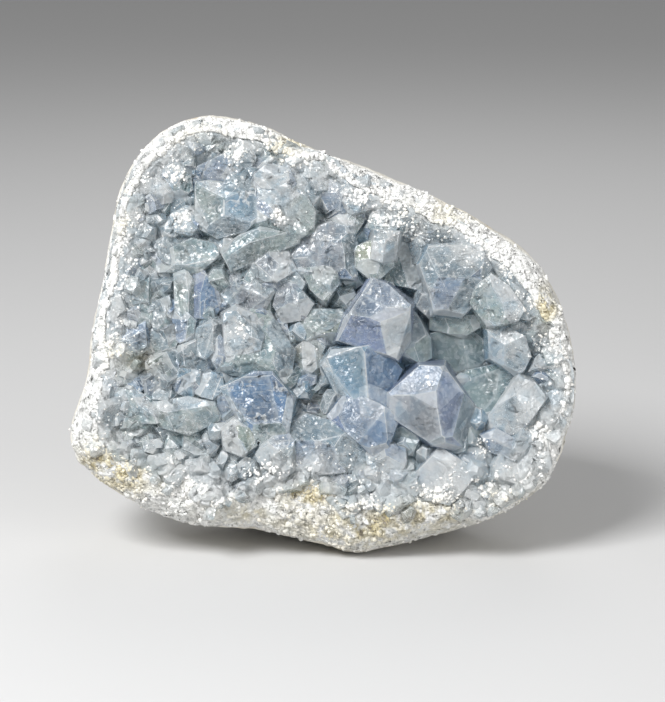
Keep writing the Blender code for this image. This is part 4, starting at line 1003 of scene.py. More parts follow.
@dataclass(frozen=True)
class RockFinish:
    """Chalky rind, sparkling sugar on the rim and painted shade on the floor of the hollow, with iron stains.
    """

    chalk: Triple = (0.85, 0.82, 0.74)
    worn: Triple = (0.60, 0.58, 0.52)
    sugar: Triple = (0.92, 0.92, 0.90)
    shade: Triple = (0.74, 0.75, 0.73)
    # Painted shade: the hollow's floor turns to this dim blue-grey the deeper it lies
    hollow_shade: Triple = (0.52, 0.58, 0.62)
    ochre: Triple = (0.57, 0.49, 0.27)
    earth: Triple = (0.55, 0.47, 0.35)
    pit: Triple = (0.24, 0.21, 0.17)
    rind_rough: float = 0.85
    sugar_rough: float = 0.45

    def material(self) -> Material:
        """Builds the material.

        Returns:
            The material.
        """
        sheet = NodeSheet("weathered_rind")
        broad, middle, fine = sheet.noise(22.0, 4.0, 0.4), sheet.noise(4.0, 5.0), sheet.noise(0.9, 3.0)
        rind = sheet.mix(sheet.between(broad, 0.40, 0.62), self.chalk, self.worn)
        rind = sheet.mix(sheet.between(sheet.noise(13.0, 6.0, 0.8), 0.55, 0.72), rind, self.earth)
        rind = sheet.mix(sheet.times(sheet.between(fine, 0.52, 0.68), 0.6), rind, self.worn)
        hole = sheet.between(sheet.noise(2.4, 4.0, 0.5), 0.655, 0.72)
        rind = sheet.mix(sheet.times(hole, 0.55), rind, self.pit)
        flake, share = sheet.flakes(1.7, 0.8)
        crumb, grain = sheet.flakes(0.7, 0.2)
        shaded = sheet.between(sheet.math("ADD", share, sheet.times(middle, 0.6)), 0.55, 1.1)
        sugar = sheet.mix(shaded, self.sugar, self.shade)
        sugar = sheet.mix(sheet.between(grain, 0.45, 0.9), sugar, self.sugar)
        base = sheet.mix(sheet.number("sugar"), rind, sugar)
        # Painted shade on the hollow's floor, stronger the lower it lies
        base = sheet.mix(sheet.number("hollow_shade"), base, self.hollow_shade)
        rust = sheet.times(sheet.number("stain"), sheet.between(middle, 0.35, 0.62))
        base = sheet.mix(rust, base, self.ochre)
        crusted = sheet.times(sheet.between(rust, 0.5, 0.9), sheet.between(grain, 0.5, 0.8))
        base = sheet.mix(crusted, base, self.pit)
        sheet.show("Base Color", base)
        rough = sheet.mix(sheet.number("sugar"), (self.rind_rough,) * 3, (self.sugar_rough,) * 3)
        sheet.show("Roughness", rough)
        lumpy = sheet.bump(sheet.times(flake, sheet.number("sugar")), 1300.0, sheet.bump(middle, 0.5))
        lumpy = sheet.bump(sheet.times(crumb, sheet.number("sugar")), 1000.0, lumpy)
        lumpy = sheet.bump(hole, -0.6, lumpy)
        sheet.show("Normal", sheet.bump(fine, 0.30, lumpy))
        return sheet.material


@dataclass(frozen=True)
class CelestiteFinish:
    """Clear grey-blue crystal: see-through, tinted face by face, with cracks, veils and frosted edges, whose
    pallor is partly painted highlight.
    """

    transmission: float = 0.50
    ior: float = 1.62
    absorbs: Triple = (0.56, 0.80, 0.92)
    density: float = 15.0
    frosted: Triple = (0.95, 0.97, 0.97)
    deep: Triple = (0.42, 0.63, 0.78)
    cracked: Triple = (0.55, 0.60, 0.64)
    dusty: Triple = (0.66, 0.72, 0.76)

    def material(self) -> Material:
        """Builds the material: straight-edged patches from a cell pattern stand for the cracks inside.

        Returns:
            The material.
        """
        sheet = NodeSheet("celestite")
        frost = sheet.number("frost")
        flake, share = sheet.flakes(4.2, 2.5)
        broad, patch = sheet.flakes(9.0, 2.0)
        chip, grain = sheet.flakes(0.9, 0.5)
        broken = sheet.between(sheet.noise(9.0, 3.0, 0.5), 0.46, 0.60)
        patched = sheet.times(sheet.between(patch, 0.55, 1.0), 0.30)
        tint = sheet.mix(patched, sheet.colour("tint"), self.frosted)
        fog = sheet.between(sheet.noise(6.0, 4.0, 0.8), 0.40, 0.64)
        tint = sheet.mix(sheet.times(fog, 0.70), tint, self.deep, "MULTIPLY")
        dim = sheet.times(sheet.times(share, broken), 0.45)
        tint = sheet.mix(dim, tint, self.cracked, "MULTIPLY")
        tint = sheet.mix(sheet.times(sheet.between(grain, 0.3, 1.0), 0.22), tint, self.frosted)
        dust = sheet.between(sheet.noise(0.55, 4.0, 0.6), 0.42, 0.66)
        loud = sheet.math("MULTIPLY_ADD", sheet.number("calm"), -0.7)
        loud.node.inputs[2].default_value = 1.0
        dust = sheet.times(dust, sheet.times(loud, 0.55))
        tint = sheet.mix(dust, tint, self.dusty, "MULTIPLY")
        crack = sheet.cells(7.0, "DISTANCE_TO_EDGE", 1.0).outputs["Distance"]
        here = sheet.between(sheet.noise(6.0, 2.0), 0.52, 0.60)
        crack = sheet.times(sheet.between(crack, 0.022, 0.0), here)
        veil = sheet.between(sheet.noise(3.0, 9.0, 1.8), 0.575, 0.66)
        speck = sheet.between(sheet.cells(0.8, "F1", 1.0).outputs["Distance"], 0.26, 0.10)
        speck = sheet.times(speck, sheet.between(sheet.noise(4.0, 3.0), 0.47, 0.60))
        lines = sheet.streaks((0.3, 0.5, 0.9), 0.35, 6.0)
        lines = sheet.most(lines, sheet.streaks((0.2, 1.0, -0.8), 0.30, 5.0))
        cloud = sheet.most(sheet.times(veil, 0.75), sheet.times(speck, 0.8))
        cloud = sheet.most(cloud, sheet.times(crack, 0.45))
        cloud = sheet.most(cloud, sheet.times(sheet.between(lines, 0.63, 0.74), 0.6))
        cloud = sheet.most(sheet.times(cloud, loud), frost)
        sheet.show("Base Color", sheet.mix(cloud, tint, self.frosted))
        rough = sheet.math("MULTIPLY_ADD", cloud, 0.34)
        rough.node.inputs[2].default_value = 0.14
        rough = sheet.math("ADD", rough, sheet.times(sheet.number("calm"), 0.14))
        sheet.show("Roughness", rough)
        sheet.show("Transmission Weight", self.transmission)
        sheet.show("IOR", self.ior)
        wavy = sheet.bump(broad, 350.0)
        wavy = sheet.bump(sheet.times(flake, sheet.times(broken, loud)), 1100.0, wavy)
        wavy = sheet.bump(sheet.times(chip, loud), 420.0, wavy)
        sheet.show("Normal", sheet.bump(sheet.noise(1.2, 5.0), 0.14, wavy))
        inside = sheet.add("ShaderNodeVolumeAbsorption")
        sheet.put(inside.inputs["Color"], (*self.absorbs, 1.0))
        sheet.put(inside.inputs["Density"], self.density)
        out = next(node for node in sheet.tree.nodes if node.type == "OUTPUT_MATERIAL")
        sheet.put(out.inputs["Volume"], inside.outputs[0])
        return sheet.material


@dataclass(frozen=True)
class SugarFinish:
    """White sugar of tiny crystals, cloudy inside, with a glint on each face."""

    dim: Triple = (0.83, 0.84, 0.83)
    rough: float = 0.22

    def material(self) -> Material:
        """Builds the material.

        Returns:
            The material.
        """
        sheet = NodeSheet("celestite_sugar")
        patch = sheet.between(sheet.noise(7.0, 3.0), 0.5, 0.75)
        base = sheet.mix(patch, sheet.colour("tint"), self.dim)
        sheet.show("Base Color", base)
        sheet.show("Roughness", self.rough)
        sheet.show("Normal", sheet.bump(sheet.noise(0.6, 2.0), 0.05))
        return sheet.material


@lru_cache(maxsize=None)
def threes(count: int) -> Array:
    """Every set of three among count planes."""
    return np.array(list(combinations(range(count), 3)))


def corners_of(normals: Array, offsets: Array) -> tuple[Array, Array]:
    """Corners of the space inside some planes: where three of them meet, on the inner side of the rest.

    Args:
        normals: outward unit normals.
        offsets: each plane's distance from the origin along its normal.

    Returns:
        The corners and the three planes through each.
    """
    trios = threes(len(normals))
    trios = trios[np.abs(np.linalg.det(normals[trios])) > 1e-5]
    corners = np.linalg.solve(normals[trios], offsets[trios][..., None])[..., 0]
    inside = (corners @ normals.T <= offsets + 1e-7).all(axis=1)
    return corners[inside], trios[inside]


def face_round(corners: Array, trios: Array, face: int, normal: Array) -> tuple | None:
    """A face's corners, put in order by their angle round its middle.

    Args:
        corners: Corners of the block.
        trios: The three planes through each corner.
        face: Number of the face's plane.
        normal: Its outward direction.

    Returns:
        Corner numbers, the ways to them from the middle, the middle and two directions in the face, or None
        where the face has fewer than three corners.
    """
    members = np.flatnonzero((trios == face).any(axis=1))
    if len(members) < 3:
        return None
    across = np.cross(normal, normal[[1, 2, 0]] + (0.1, 0.2, 0.3))
    along = np.cross(normal, across)
    middle = corners[members].mean(axis=0)
    away = corners[members] - middle
    order = np.argsort(np.arctan2(away @ along, away @ across))
    return members[order], away[order], middle, across, along


@dataclass
class CrystalBlock:
    """One convex crystal as the planes of its faces, each with a tint and a frost."""

    normals: Array
    offsets: Array
    tints: Array
    frost: Array

    def cut(self, normals: Array, offsets: Array, tint: Array, frost: float) -> None:
        """Adds planes that trim the crystal.

        Args:
            normals: Outward directions of the new faces.
            offsets: Their distances.
            tint: Colour.
            frost: Frost, 0 to 1.
        """
        self.normals = np.concatenate([self.normals, normals])
        self.offsets = np.concatenate([self.offsets, offsets])
        self.tints = np.concatenate([self.tints, np.broadcast_to(tint, (len(normals), 3))])
        self.frost = np.concatenate([self.frost, np.full(len(normals), frost)])

    def chip(self, rng: Generator, count: int, least: float, most: float) -> None:
        """Breaks corners off the upper half: a break is a plane just under the crystal's reach that way.

        Args:
            rng: Random source.
            count: How many.
            least: Least size of a cut, in mm.
            most: Greatest size of a cut, in mm.
        """
        corners, _ = corners_of(self.normals, self.offsets)
        away = rng.normal(size=(count, 3))
        away[:, 2] = np.abs(away[:, 2])
        away /= np.linalg.norm(away, axis=1)[:, None]
        reach = (corners @ away.T).max(axis=0)
        self.cut(away, reach - rng.uniform(least, most, count), self.tints.mean(axis=0), CHIP_FROST)

    def facet(self, rng: Generator, count: int) -> None:
        """Adds slight faces beside the front ones: planes tilted a little from them, cutting off a sliver.

        Args:
            rng: Random source.
            count: How many.
        """
        fronts = np.flatnonzero(self.normals[:, 2] > 0.35)
        chosen = rng.choice(fronts, count)
        corners, _ = corners_of(self.normals, self.offsets)
        away = self.normals[chosen] + rng.normal(scale=FACET_TILT, size=(count, 3))
        away /= np.linalg.norm(away, axis=1)[:, None]
        reach = (corners @ away.T).max(axis=0)
        depth = reach - rng.uniform(FACET_LEAST, FACET_MOST, count)
        tints = self.tints[chosen] * rng.uniform(0.85, 1.15, (count, 1))
        self.cut(away, depth, tints, FACET_FROST)

    def chamfer(self, rng: Generator, least: float, most: float) -> None:
        """Wears the edges: where two faces share two corners, a plane between them takes off a strip, pale and
        frosted as wear and as painted highlight.

        Args:
            rng: Random source.
            least: Least size of a cut, in mm.
            most: Greatest size of a cut, in mm.
        """
        corners, trios = corners_of(self.normals, self.offsets)
        pairs = trios[:, [[0, 1], [0, 2], [1, 2]]].reshape(-1, 2)
        owner = np.repeat(np.arange(len(corners)), 3)
        edges, which = np.unique(pairs, axis=0, return_inverse=True)
        middles = np.zeros((len(edges), 3))
        np.add.at(middles, which.ravel(), corners[owner])
        middles /= np.bincount(which.ravel())[:, None]
        between = self.normals[edges].sum(axis=1)
        length = np.linalg.norm(between, axis=1)
        worn = (length < WORN_MOST) & (length > WORN_LEAST) & (between[:, 2] > WORN_BACK)
        normals = between[worn] / length[worn][:, None]
        width = least + (most - least) * rng.random(len(normals)) ** 2.5
        half = width / 2 * np.sqrt(1 - (length[worn] / 2) ** 2) / (length[worn] / 2)
        # The strips are pale and frosted at random: worn edges that also carry a painted highlight
        tint = np.broadcast_to(WORN_EDGE_AND_HIGHLIGHT, normals.shape)
        self.cut(normals, (normals * middles[worn]).sum(axis=1) - half, tint, 0.0)
        self.frost[-len(normals):] = rng.uniform(0.15, 0.95, len(normals))

    def mesh_object(self, name: str, rng: Generator) -> Object:
        """Makes the crystal, each wide face with a border round it that is paler and duller than its middle.

        The border runs in to the face's corners, drawn towards its middle by a set distance. The tint slopes
        from one side of a face to the other.

        Args:
            name: Name of the new object.
            rng: Random source.

        Returns:
            The object, in face-frame mm.
        """
        self.normals = self.normals + rng.normal(scale=2e-4, size=self.normals.shape)
        corners, trios = corners_of(self.normals, self.offsets)
        points, loops, counts, tints, frost = [corners], [], [], [], []
        start = len(corners)
        for face, normal in enumerate(self.normals):
            found = face_round(corners, trios, face, normal)
            if found is None:
                continue
            members, away, middle, across, along = found
            onward = np.roll(away, -1, axis=0) - away
            span = np.linalg.norm(np.cross(away, onward), axis=1) / np.linalg.norm(onward, axis=1)
            tint, dull = self.tints[face], self.frost[face]
            if span.min() < 0.8 or normal[2] < -0.2:
                loops.append(members)
                counts.append(len(members))
                tints.append(np.tile(tint, (len(members), 1)))
                frost.append(np.full(len(members), dull))
                continue
            share = 1 - min(0.9, 0.55 * span.min()) / span.min()
            points.append(middle + away * share)
            inner = start + np.arange(len(members))
            start += len(members)
            slope = away @ (across * rng.normal() + along * rng.normal()) / max(np.abs(away).max(), 1e-6)
            inside = tint * np.clip(0.88 + 0.22 * slope, 0.55, 1.2)[:, None]
            pale = rng.uniform(0.0, 0.5)
            edge = tint * (1 - pale) + PALE_BORDER * pale
            ring = np.stack([members, np.roll(members, -1), np.roll(inner, -1), inner], axis=1)
            loops += [ring.ravel(), inner]
            counts += [4] * len(members) + [len(members)]
            outer = [np.tile(edge, (len(members), 1))] * 2
            rim_tint = np.stack([*outer, np.roll(inside, -1, axis=0), inside], axis=1)
            tints += [rim_tint.reshape(-1, 3), inside]
            rim_frost = np.tile([dull + 0.4 * pale] * 2 + [dull] * 2, len(members))
            frost += [rim_frost, np.full(len(members), dull)]
        obj = write_mesh(name, np.concatenate(points), np.concatenate(loops), np.array(counts))
        colours = np.concatenate(tints)
        store(obj.data, "tint", "CORNER", np.column_stack([colours, np.ones(len(colours))]))
        store(obj.data, "frost", "CORNER", np.concatenate(frost))
        return obj


@dataclass
class MatrixRock:
    """The rind with its rim and its hollow, one closed surface, in finer relief than the solid."""

    form: StoneForm
    segments: int = 480
    back_rings: int = 98
    shoulder_rings: int = 48
    hollow_rings: int = 26
    step_power: float = 1.6
    smooth_relief: float = 0.30
    grain_relief: float = 0.45
    pit_depth: float = 0.6
    crack_depth: float = 0.55
    sugar_ragged: float = 0.12
    sugar_run: float = 0.16
    # Depth at which the hollow's floor starts to take painted shade and to lose its grains, and over how much
    # it deepens
    cave_start: float = -4.0
    cave_run: float = 9.0
    finish: RockFinish = field(default_factory=RockFinish)

    def base(self, angle: Array, ring: Array) -> Array:
        """The stone's own form: its back, then its rounded rim, then its hollow.

        Args:
            angle: Angle round the face.
            ring: Ring number.

        Returns:
            Places in face-frame mm.
        """
        back = self.form.back(angle, np.clip(ring / self.back_rings, 0, 1))
        share = self.shoulder_share(ring)
        shoulder = self.form.shoulder(angle, share)
        hollow = self.form.hollow(angle, self.hollow_share(ring), 0.0)
        rim = np.where((ring > self.back_rings)[..., None], shoulder, back)
        return np.where((ring > self.back_rings + self.shoulder_rings)[..., None], hollow, rim)

    def shoulder_share(self, ring: Array) -> Array:
        """How far over the rounded rim a ring lies."""
        return np.clip((ring - self.back_rings) / self.shoulder_rings, 0, 1)

    def hollow_share(self, ring: Array) -> Array:
        """How far into the hollow a ring lies; the rings crowd towards its wall."""
        gone = (ring - self.back_rings - self.shoulder_rings) / self.hollow_rings
        return np.clip(gone, 0, 1) ** self.step_power

    def sugar(self, angle: Array, ring: Array, points: Array) -> Array:
        """Share of sugar: none on the rind, all from a ragged line on the rim inwards.

        Args:
            angle: Angle round the face.
            ring: Ring number.
            points: Places in face-frame mm.

        Returns:
            Sugar, 0 to 1.
        """
        start = self.form.rim(RIND_SHARE, angle) + self.sugar_ragged * fractal(points, 7.0, 3, 40)
        return np.clip((self.shoulder_share(ring) - start) / self.sugar_run, 0, 1)

    def relief(self, points: Array, sugar: Array) -> Array:
        """Height over the base: soft lumps, pits and cracks on the rind, tilted grains on the sugar.

        Args:
            points: Places in face-frame mm.
            sugar: Sugar, 0 to 1.

        Returns:
            Height over the plain form, in mm.
        """
        soft = self.smooth_relief * fractal(points, 9.0, 4, 10) + 0.16 * fractal(points, 2.6, 2, 20)
        _, away = grains(points, 3.1, 60)
        pitted = np.clip(soft_noise(points, 15.0, 70) * 2.0, 0, 1)
        pits = -self.pit_depth * np.clip(1 - away / 0.5, 0, 1) * pitted
        cracks = -self.crack_depth * np.exp(-((fractal(points, 26.0, 3, 80) / 0.030) ** 2))
        coarse, _ = grains(points, 2.7, 90)
        fine, _ = grains(points, 1.3, 120)
        grainy = self.grain_relief * (coarse + 0.5 * fine) + 0.25 * fractal(points, 5.0, 2, 150)
        return (soft + pits + cracks) * (1 - sugar) + grainy * sugar

    def build(self) -> Object:
        """Makes the rind's mesh and dresses it.

        Returns:
            The rock's object.
        """
        rings = self.back_rings + self.shoulder_rings + self.hollow_rings
        ring, angle = polar_grid(self.segments, rings)
        base = self.base(angle, ring)
        along = np.roll(base, -1, axis=1) - np.roll(base, 1, axis=1)
        normal = np.cross(along, np.gradient(base, axis=0))
        normal[0], normal[-1] = (0, 0, -1), (0, 0, 1)
        normal /= np.linalg.norm(normal, axis=-1)[..., None]
        sugar = self.sugar(angle, ring, base)
        points = base + normal * self.relief(base, sugar)[..., None]
        world = self.form.to_world(pole_to_pole(points))
        world[:, 2] = np.maximum(world[:, 2], 0.0)
        loops, counts = closed_grid(self.segments, rings)
        obj = write_mesh("matrix_rock_rind", world, loops, counts)
        # How deep the floor lies in the hollow: it paints shade on the floor and keeps the sugar grains off it
        depth = np.clip((self.cave_start - points[..., 2]) / self.cave_run, 0, 1)
        depth = depth * (ring > self.back_rings + self.shoulder_rings)
        for name, grid in (("sugar", sugar), ("hollow_shade", depth), ("stain", self.stain(points))):
            store(obj.data, name, "POINT", pole_to_pole(grid))
        obj.data.shade_smooth()
        obj.data.materials.append(self.finish.material())
        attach(obj, "root")
        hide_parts("matrix_rock")
        self.points, self.normal, self.sugary = points, normal, sugar * (1 - depth)
        LOG.info("rind: %d faces", len(obj.data.polygons))
        return obj

    @staticmethod
    def stain(points: Array) -> Array:
        """Iron stain on the front: bells round the stained places, broken up by noise.

        Args:
            points: Places in face-frame mm.

        Returns:
            Stain, 0 to 1.
        """
        u, v, w = np.moveaxis(points, -1, 0)
        total = sum(
            strength * np.exp(-(((u - a) / reach_u) ** 2) - ((v - b) / reach_v) ** 2)
            for (a, b), (reach_u, reach_v), strength in STAINS
        )
        return np.clip(total * (1.1 + 0.9 * soft_noise(points, 5.0, 30)), 0, 1) * (w > STAINS_END_W)


@dataclass
class SugarDruse:
    """Tiny white crystals strewn over the rim and the crust's edges, one mesh of many small blocks."""

    form: StoneForm
    rim_count: int = 4600
    dust_tries: int = 30000
    shapes: int = 10
    rim_size: tuple[float, float] = (0.35, 1.9)
    dust_size: tuple[float, float] = (0.2, 0.75)
    seed: int = 11
    finish: SugarFinish = field(default_factory=SugarFinish)

    def shape(self, rng: Generator) -> tuple[Array, list[Array]]:
        """A small block: five tilted sides and three slanting ends over a flat foot, as corners and faces.

        Args:
            rng: Random source.

        Returns:
            Corners, and each face's corner numbers in order.
        """
        turn = np.arange(5) * 2 * math.pi / 5 + rng.uniform(-0.3, 0.3, 5)
        sides = np.stack([np.cos(turn), np.sin(turn), rng.uniform(-0.25, 0.35, 5)], axis=1)
        ends = np.array([(0.45, 0.1, 1.0), (-0.5, -0.2, 1.0), (0.1, 0.6, 0.9), (0.0, 0.0, -1.0)])
        normals = np.concatenate([sides, ends + rng.normal(scale=0.15, size=ends.shape)])
        normals /= np.linalg.norm(normals, axis=1)[:, None]
        offsets = np.concatenate([rng.uniform(0.28, 0.62, 5), rng.uniform(0.3, 0.62, 3), [0.6]])
        corners, trios = corners_of(normals, offsets)
        found = [face_round(corners, trios, face, normal) for face, normal in enumerate(normals)]
        return corners, [each[0] for each in found if each is not None]

    def on_rim(self, rock: MatrixRock, rng: Generator) -> tuple[Array, Array, Array]:
        """Places, outward directions and sizes on the rim, chosen by area and share of sugar.

        Args:
            rock: The finished rock.
            rng: Random source.

        Returns:
            Places, directions and sizes.
        """
        points, normal = rock.points, rock.normal
        onward = np.roll(points, -1, axis=1) - points
        area = np.linalg.norm(np.cross(onward, np.gradient(points, axis=0)), axis=-1)
        patchy = np.clip(0.55 + 0.9 * fractal(points, 5.0, 2, 200), 0.02, 1.5)
        chance = (area * rock.sugary**2 * patchy).ravel()
        chosen = rng.choice(len(chance), size=self.rim_count, p=chance / chance.sum())
        low, high = self.rim_size
        size = low + (high - low) * rng.random(self.rim_count) ** 3.0
        return points.reshape(-1, 3)[chosen], normal.reshape(-1, 3)[chosen], size

    def on_crust(self, crust: Object, rng: Generator) -> tuple[Array, Array, Array]:
        """Places, outward directions and sizes on the crust, thick by the rim and at the powdered spots.

        Args:
            crust: The finished crust.
            rng: Random source.

        Returns:
            Places, directions and sizes.
        """
        tree = BVHTree.FromObject(crust, bpy.context.evaluated_depsgraph_get())
        tries = rng.uniform(TRY_FROM, TRY_TO, (self.dust_tries, 2))
        angle = np.arctan2(tries[:, 1], tries[:, 0])
        room = self.form.radius(angle) - self.form.rim_width(angle) - np.hypot(*tries.T)
        flat = np.column_stack([tries, np.zeros(len(tries))])
        band = 0.8 * np.exp(-np.clip(room, 0, None) / 4.5) + 0.9 * np.clip((-31.0 - tries[:, 1]) / 12.0, 0, 1)
        band = band * np.clip(0.45 + 1.3 * fractal(flat, 6.0, 3, 500), 0, 1.5)
        chance = band + 0.012
        for a, b, reach in POWDER:
            spot = np.exp(-(((tries[:, 0] - a) ** 2 + (tries[:, 1] - b) ** 2) / reach**2) ** 2)
            chance, band = chance + spot, np.maximum(band, spot * (reach > 2.0))
        chosen = (room > -2.0) & (rng.random(len(tries)) < chance)
        kept, thick = tries[chosen], np.clip(band[chosen], 0, 1)
        matrix = self.form.stance()
        back, out = matrix.inverted(), (matrix.to_3x3() @ Vector((0.0, 0.0, 1.0))).normalized()
        places, normals, sizes = [], [], []
        low, high = self.dust_size
        for (u, v), share in zip(kept, thick):
            hit, normal, _, _ = tree.ray_cast(matrix @ Vector((u, v, 40.0)), -out)
            if hit is not None and normal.dot(out) > 0.25:
                places.append(back @ hit)
                normals.append((back.to_3x3() @ normal).normalized())
                sizes.append(low + (high - low) * rng.random() ** 3.0 + 1.25 * share * rng.random() ** 1.3)
        return np.array(places), np.array(normals), np.array(sizes)

    def build(self, rock: MatrixRock, crust: Object) -> Object:
        """Strews the blocks, each sunk a little and turned at random about its outward direction.

        Args:
            rock: The finished rock.
            crust: The finished crust.

        Returns:
            The sugar's object.
        """
        rng = np.random.default_rng(self.seed)
        parts = [self.on_rim(rock, rng), self.on_crust(crust, rng)]
        place, out, scale = (np.concatenate(column) for column in zip(*parts))
        count = len(scale)
        axis = out + rng.normal(scale=0.35, size=out.shape)
        axis /= np.linalg.norm(axis, axis=1)[:, None]
        side = np.cross(axis, rng.normal(size=axis.shape))
        side /= np.linalg.norm(side, axis=1)[:, None]
        turn = np.stack([side, np.cross(axis, side), axis], axis=-1)
        place = place - out * (scale * 0.26)[:, None]
        corners, loops, counts, tints, start = [], [], [], [], 0
        for number in range(self.shapes):
            shape, faces = self.shape(rng)
            mine = np.flatnonzero(np.arange(count) % self.shapes == number)
            made = np.einsum("nij,mj->nmi", turn[mine] * scale[mine][:, None, None], shape)
            made = made + place[mine][:, None]
            one = np.concatenate(faces)
            loops.append((one + start + len(shape) * np.arange(len(mine))[:, None]).ravel())
            counts.append(np.tile([len(face) for face in faces], len(mine)))
            light = 0.78 + 0.20 * rng.random(len(mine))
            blue = rng.uniform(0.98, 1.02, len(mine))
            tint = np.stack([light / blue, light, 0.97 * light * blue, np.ones(len(mine))], axis=1)
            rust = 0.8 * MatrixRock.stain(place[mine])
            tint[:, :3] += (GRAIN_OCHRE - tint[:, :3]) * rust[:, None]
            tints.append(np.repeat(tint, len(faces), axis=0))
            corners.append(made.reshape(-1, 3))
            start += made.shape[0] * made.shape[1]
        places = self.form.to_world(np.concatenate(corners))
        obj = write_mesh("sugar_druse", places, np.concatenate(loops), np.concatenate(counts))
        store(obj.data, "tint", "FACE", np.concatenate(tints))
        obj.data.materials.append(self.finish.material())
        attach(obj, "root")
        LOG.info("sugar: %d grains, %d faces", count, len(obj.data.polygons))
        return obj


